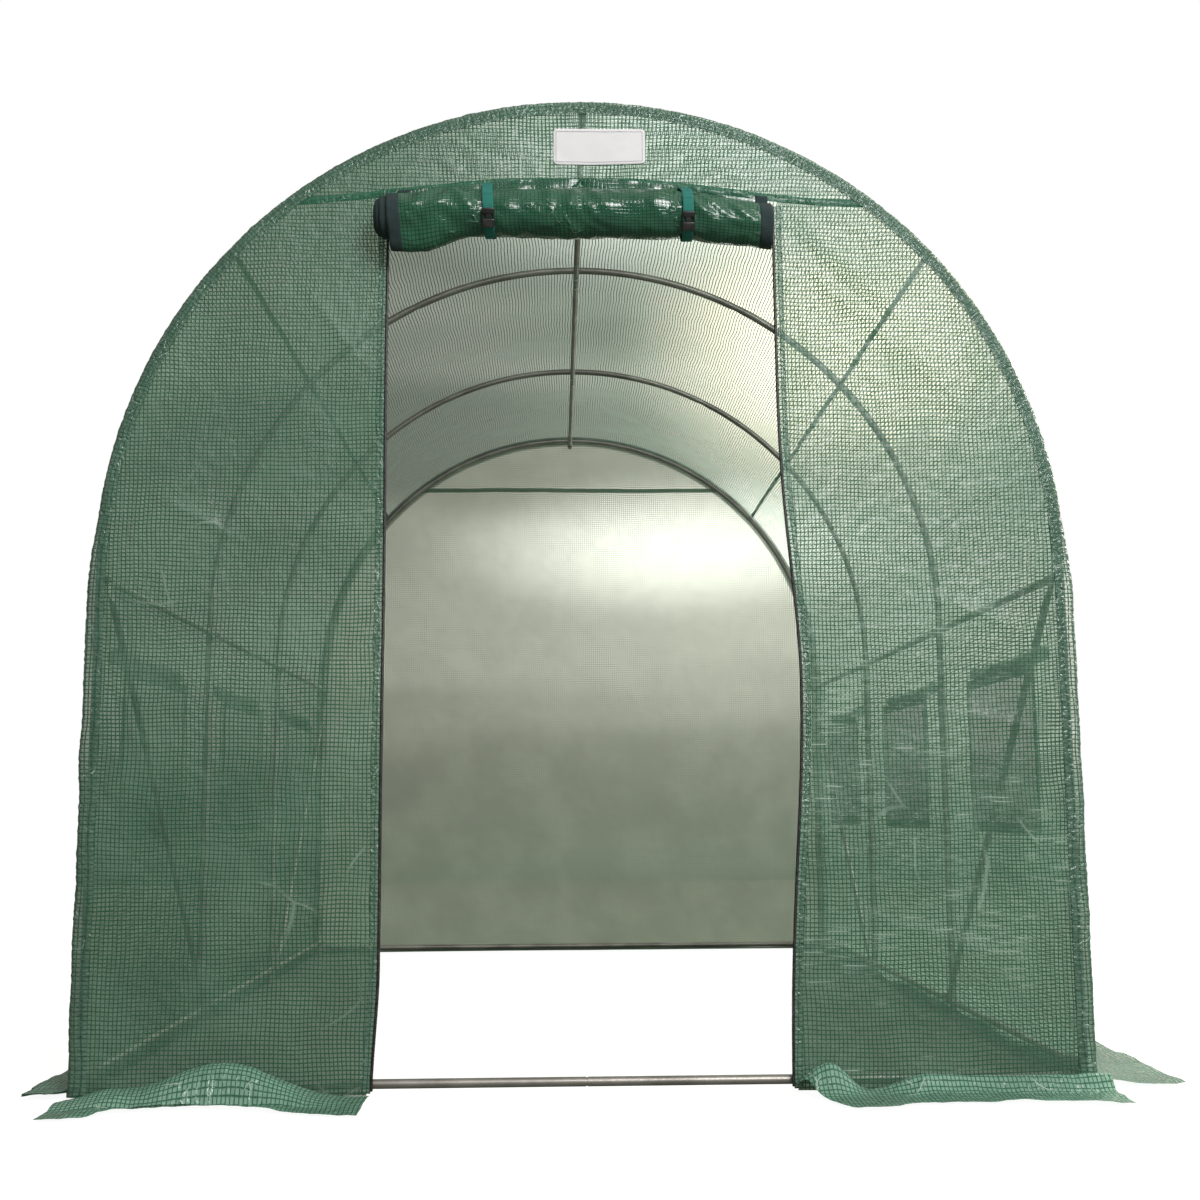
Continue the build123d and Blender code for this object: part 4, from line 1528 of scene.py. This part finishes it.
def patch_place(x, z, lift=0.002):
    return hang_front(x, z, lift + 0.0006 * wobble(x / 0.03, z / 0.02, 15.0))


def rounded(s, t):
    """A rectangle whose grid bends into rounded corners."""
    x, z = (2 * s - 1) * patch_half.x, (2 * t - 1) * patch_half.y
    over_x, over_z = abs(x) - patch_half.x + corner, abs(z) - patch_half.y + corner
    if over_x > 0 and over_z > 0:
        share = max(over_x, over_z) / hypot(over_x, over_z)
        x -= over_x * (1 - share) * sign(x)
        z -= over_z * (1 - share) * sign(z)
    return patch_middle.x + x, patch_middle.y + z


patch = sew(
    "bare_patch", cut_and_hang(rounded, patch_place, 64, 30), patch_cloth, "patch_cloth",
    ["label_patch"], tuple(2 * patch_half), "hung", ["front_top_wall"],
)
thicken(patch, 0.0008)

stitches = bmesh.new()
wide, high = patch_half.x - stitch_inset, patch_half.y - stitch_inset
loop = [Vector(at) for at in ((-wide, -high), (wide, -high), (wide, high), (-wide, high))]
for first, second in zip(loop, loop[1:] + loop[:1]):
    way = second - first
    turn = Matrix.Rotation(atan2(way.y, way.x), 4, (0, -1, 0))
    count = round(way.length / stitch_step)
    for number in range(count):
        spot = patch_middle + first + way * ((number + 0.5) / count)
        at = Matrix.Translation(patch_place(spot.x, spot.y, 0.0030)) @ turn
        bmesh.ops.create_cube(stitches, size=1, matrix=at @ Matrix.Diagonal(stitch_size))
dress("patch_stitches", stitches, patch_thread, smooth=False)
print("patch sewn on")

# %% [markdown]
# Skirts are the film's spare ends, spread on the ground to be weighted with soil. They never
# lie flat: each has a fold where it turns out from the wall, broad waves, and curled corners.
# Each skirt is cut as a strip and hung by its own height function. u runs along the wall and
# v is the distance out from it.

# %% The shape of the front skirts
skirt_z = 0.004
skirt_reach = cad_high.x - film_radius
end_reach = cad_high.y - back_film_y
back_half = 0.985


def ground_wave(u, v, seed):
    """Height of a loose film lying on the ground, never under it."""
    wave = wobble(u / 0.22, v / 0.10, seed) + 0.5 * wobble(u / 0.07, v / 0.05, seed + 3)
    fine = wobble(u / 0.018, v / 0.015, seed + 6)
    return skirt_z + max(0.0, 0.010 * wave) + 0.0012 * (1 + fine)


def front_ground(u, v, seed):
    """The same, but held down at the wall."""
    return skirt_z + (ground_wave(u, v, seed) - skirt_z) * ease(v, 0.0, 0.05)


def left_front(u, v):
    hump = 0.072 * bell(u, -0.70, 0.15) + 0.018 * bell(u, -0.92, 0.06)
    profile = sin(pi * min(1.0, v / 0.125)) ** 0.8 if v < 0.125 else 0.0
    pocket = 0.010 * bell(v, 0.15, 0.02) * bell(u, -0.80, 0.09)
    z = front_ground(u, v, 20.0) + hump * profile + pocket
    return Vector((u, front_film_y - 0.002 - v * (1 - 0.25 * hump / 0.07), z))


def left_front_cut(s, t):
    u = -1.005 + s * (door_edge(-1, 0.01) + 1.005)
    return u, t * (0.20 - 0.062 * ease(u, -0.93, -0.87) + 0.056 * ease(u, -0.72, -0.42))


def right_front(u, v):
    roll_up = 0.030 * bell(v, 0.035, 0.022) * ease(u, 0.52, 0.66)
    tip = 0.055 * bell(u, 0.475, 0.045) * bell(v, 0.03, 0.03)
    corner_lift = 0.020 * bell(u, 0.43, 0.03) * bell(v, 0, 0.05)
    z = front_ground(u, v, 30.0) + roll_up + tip + corner_lift
    return Vector((u, front_film_y - 0.002 - v, z))


def right_front_cut(s, t):
    first = door_edge(1, 0.01)
    u = first + s * (1.02 - first)
    reach = 0.03 + 0.165 * ease(u, 0.41, 0.51) - 0.055 * ease(u, 0.53, 0.62)
    return u, t * (reach + 0.035 * ease(u, 0.8, 1.02))


print(f"side skirts {skirt_reach:.3f} m wide")

# %% [markdown]
# The front skirts have shapes of their own. The ones at the sides and the back are long plain
# strips with a wavy edge, and the left one lies folded back on itself.

# %% The skirts
def make_skirt(name, shape, flat, holder, flip=False):
    if flip:
        turn_over(shape)
    node, piece = f"{name}_skirt", f"{name}_ground_flap"
    sew(piece, shape, skirt_film, "mesh_film", [node], flat, "laid", [holder])


for name, cut, hang, flat in (
    ("front_left", left_front_cut, left_front, (0.59, 0.17)),
    ("front_right", right_front_cut, right_front, (0.61, 0.16)),
):
    make_skirt(name, cut_and_hang(cut, hang, 150, 44), flat, f"{name}_wall", True)

for side_name, side in sides:
    def side_place(v, u):
        rise = 0.040 * exp(-v / 0.05) * (0.5 + wobble(u / 0.4, 40.0, side))
        edge = 0.010 * ease(v, skirt_reach - 0.05, skirt_reach)
        edge *= 0.5 + wobble(u / 0.15, 41.0, side)
        z = max(0.0, rise) + max(0.0, edge) + ground_wave(u, v, 50.0 + side)
        if side < 0:
            turned = 0.105 + 0.02 * wobble(u / 0.5, 44.0, 0)
            if v > turned:
                v, z = 2 * turned - v, z + 0.006
        return Vector((side * (film_radius + v), front_y + u, z))

    def side_cut(s, t):
        return s * (skirt_reach - 0.02 + 0.016 * wobble(t * 6.0, 42.0, side)), t * run_length

    shape = cut_and_hang(side_cut, side_place, 40, 300)
    make_skirt(side_name, shape, (skirt_reach, run_length), f"{side_name}_side_sheet", side < 0)


def back_place(u, v):
    rise = max(0.0, 0.030 * exp(-v / 0.05) * (0.5 + wobble(u / 0.3, 43.0, 0)))
    return Vector((u, back_film_y + 0.002 + v, rise + ground_wave(u, v, 60.0)))


back_cut = oblong(-back_half, back_half, 0, end_reach - 0.015)
shape = cut_and_hang(back_cut, back_place, 200, 36)
make_skirt("back", shape, (2 * back_half, end_reach), "back_wall")
print("skirts laid")

# %% [markdown]
# A window is a hole in the side sheet with a net sewn over it inside a frame of tape. The flap
# that closes it is rolled up above and held by two narrow straps. The net is a real grid in
# the finish only: it is far too fine to build.

# %% The parts of a window
window_tape = 0.024
net_lap, flap_lap = 0.006, 0.01
flap_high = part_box("left_window_flaps")[1]
flap_radius, flap_core = 0.0185, 0.006
flap_x = film_radius + flap_radius + 0.004
flap_z = flap_high.z - 0.020 + 0.003
flap_turns = 4.5
flap_run = tau * flap_turns * (flap_radius + flap_core) / 2
loop_half, loop_shift = 0.008, 0.15


def hang_tape(side, along, up):
    return on_side(side, up, along, 0.0012 + 0.0006 * wobble(along / 0.01, up / 0.01, 16))


def hang_net(side, low_y, along, up):
    held = min(ease(along, low_y, low_y + 0.05), ease(low_y + window_width - along, 0, 0.05))
    return on_side(side, up, along, -0.001 + ripple(along, up, 0.09, 0.003, 17.0) * held)


def hang_flap(side, place, along, run):
    turns = flap_turns * (1 - sqrt(max(0.0, 1 - run / flap_run)))
    angle = turns * tau
    size = flap_radius + (flap_core - flap_radius) * turns / flap_turns
    off = abs(along - place)
    lump = wobble(along / 0.05, angle, side * 2.0)
    lump += 0.5 * wobble(along / 0.015, angle * 2, side * 3.0)
    size += (0.0022 * lump - 0.0015 * bell(off, loop_shift, 0.02)) * exp(-turns)
    sag = 0.006 * sin(pi * min(1.0, off / loop_shift)) - 0.008 * ease(off, 0.16, 0.26)
    z = flap_z - sag * 0.5 - size * sin(angle)
    return Vector((side * (flap_x - size * cos(angle)), front_y + along, z))


def hang_loop(side, middle_y, off, turn):
    size = flap_radius + 0.0022
    x = side * (flap_x + size * cos(turn))
    return Vector((x, front_y + middle_y + off, flap_z + size * sin(turn)))


print(f"windows {window_width:.2f} by {window_height:.2f} m")

# %% [markdown]
# Both sides have the same three windows, each with four strips of tape round its net. Their
# pieces are joined by kind: one piece of tapes a side, one of nets, of flaps and of straps.

# %% The windows
for side_name, side in sides:
    frames, nets, flaps, loops = [], [], [], []
    for place in window_middles:
        low_y, high_y = place - window_width / 2, place + window_width / 2
        outer_y = (low_y - window_tape, high_y + window_tape)
        for first, last, bottom, top in (
            (*outer_y, window_bottom - window_tape, window_bottom),
            (*outer_y, window_top, window_top + window_tape),
            (outer_y[0], low_y, window_bottom, window_top),
            (high_y, outer_y[1], window_bottom, window_top),
        ):
            counts = [max(4, round(run / 0.006)) for run in (last - first, top - bottom)]
            tape = oblong(first, last, bottom, top)
            frames.append(cut_and_hang(tape, lambda u, v: hang_tape(side, u, v), *counts))
        net_foot, net_head = window_bottom - net_lap, window_top + net_lap
        net = oblong(low_y - net_lap, high_y + net_lap, net_foot, net_head)
        nets.append(cut_and_hang(net, lambda u, v: hang_net(side, low_y, u, v), 60, 40))
        flap = oblong(low_y - flap_lap, high_y + flap_lap, 0, flap_run)
        flaps.append(cut_and_hang(flap, lambda u, v: hang_flap(side, place, u, v), 64, 90))
        for middle_y in (place - loop_shift, place + loop_shift):
            band = oblong(-loop_half, loop_half, 0, tau)
            loops.append(cut_and_hang(band, lambda u, v: hang_loop(side, middle_y, u, v), 4, 40))
    node = f"{side_name}_window"
    sew(
        f"{node}_frames", join(frames), seam_film, "hem_film", [f"{node}_tapes"],
        (window_tape, 3 * 2 * (window_width + window_height + 2 * window_tape)), "hung",
        [f"{side_name}_side_sheet"],
    )
    sew(
        f"{side_name}_insect_nets", join(nets), net_finish, "insect_net", [f"{node}_nets"],
        (3 * (window_width + 2 * net_lap), window_height + 2 * net_lap), "hung",
        [f"{node}_frames"],
    )
    sew(
        f"{side_name}_rolled_flaps", join(flaps), rolled_film, "rolled_film", [f"{node}_flaps"],
        (3 * (window_width + 2 * flap_lap), flap_run), "gathered", [f"{side_name}_flap_straps"],
    )
    thicken(dress(f"{side_name}_flap_straps", join(loops), tie_webbing), 0.001)
print("windows made")

# %% [markdown]
# The frame's own box and the box of everything above are written down side by side.

# %% The two boxes
low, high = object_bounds()
sizes = {"cad": [list(cad_low), list(cad_high)], "visual": [list(low), list(high)]}
print(sizes)
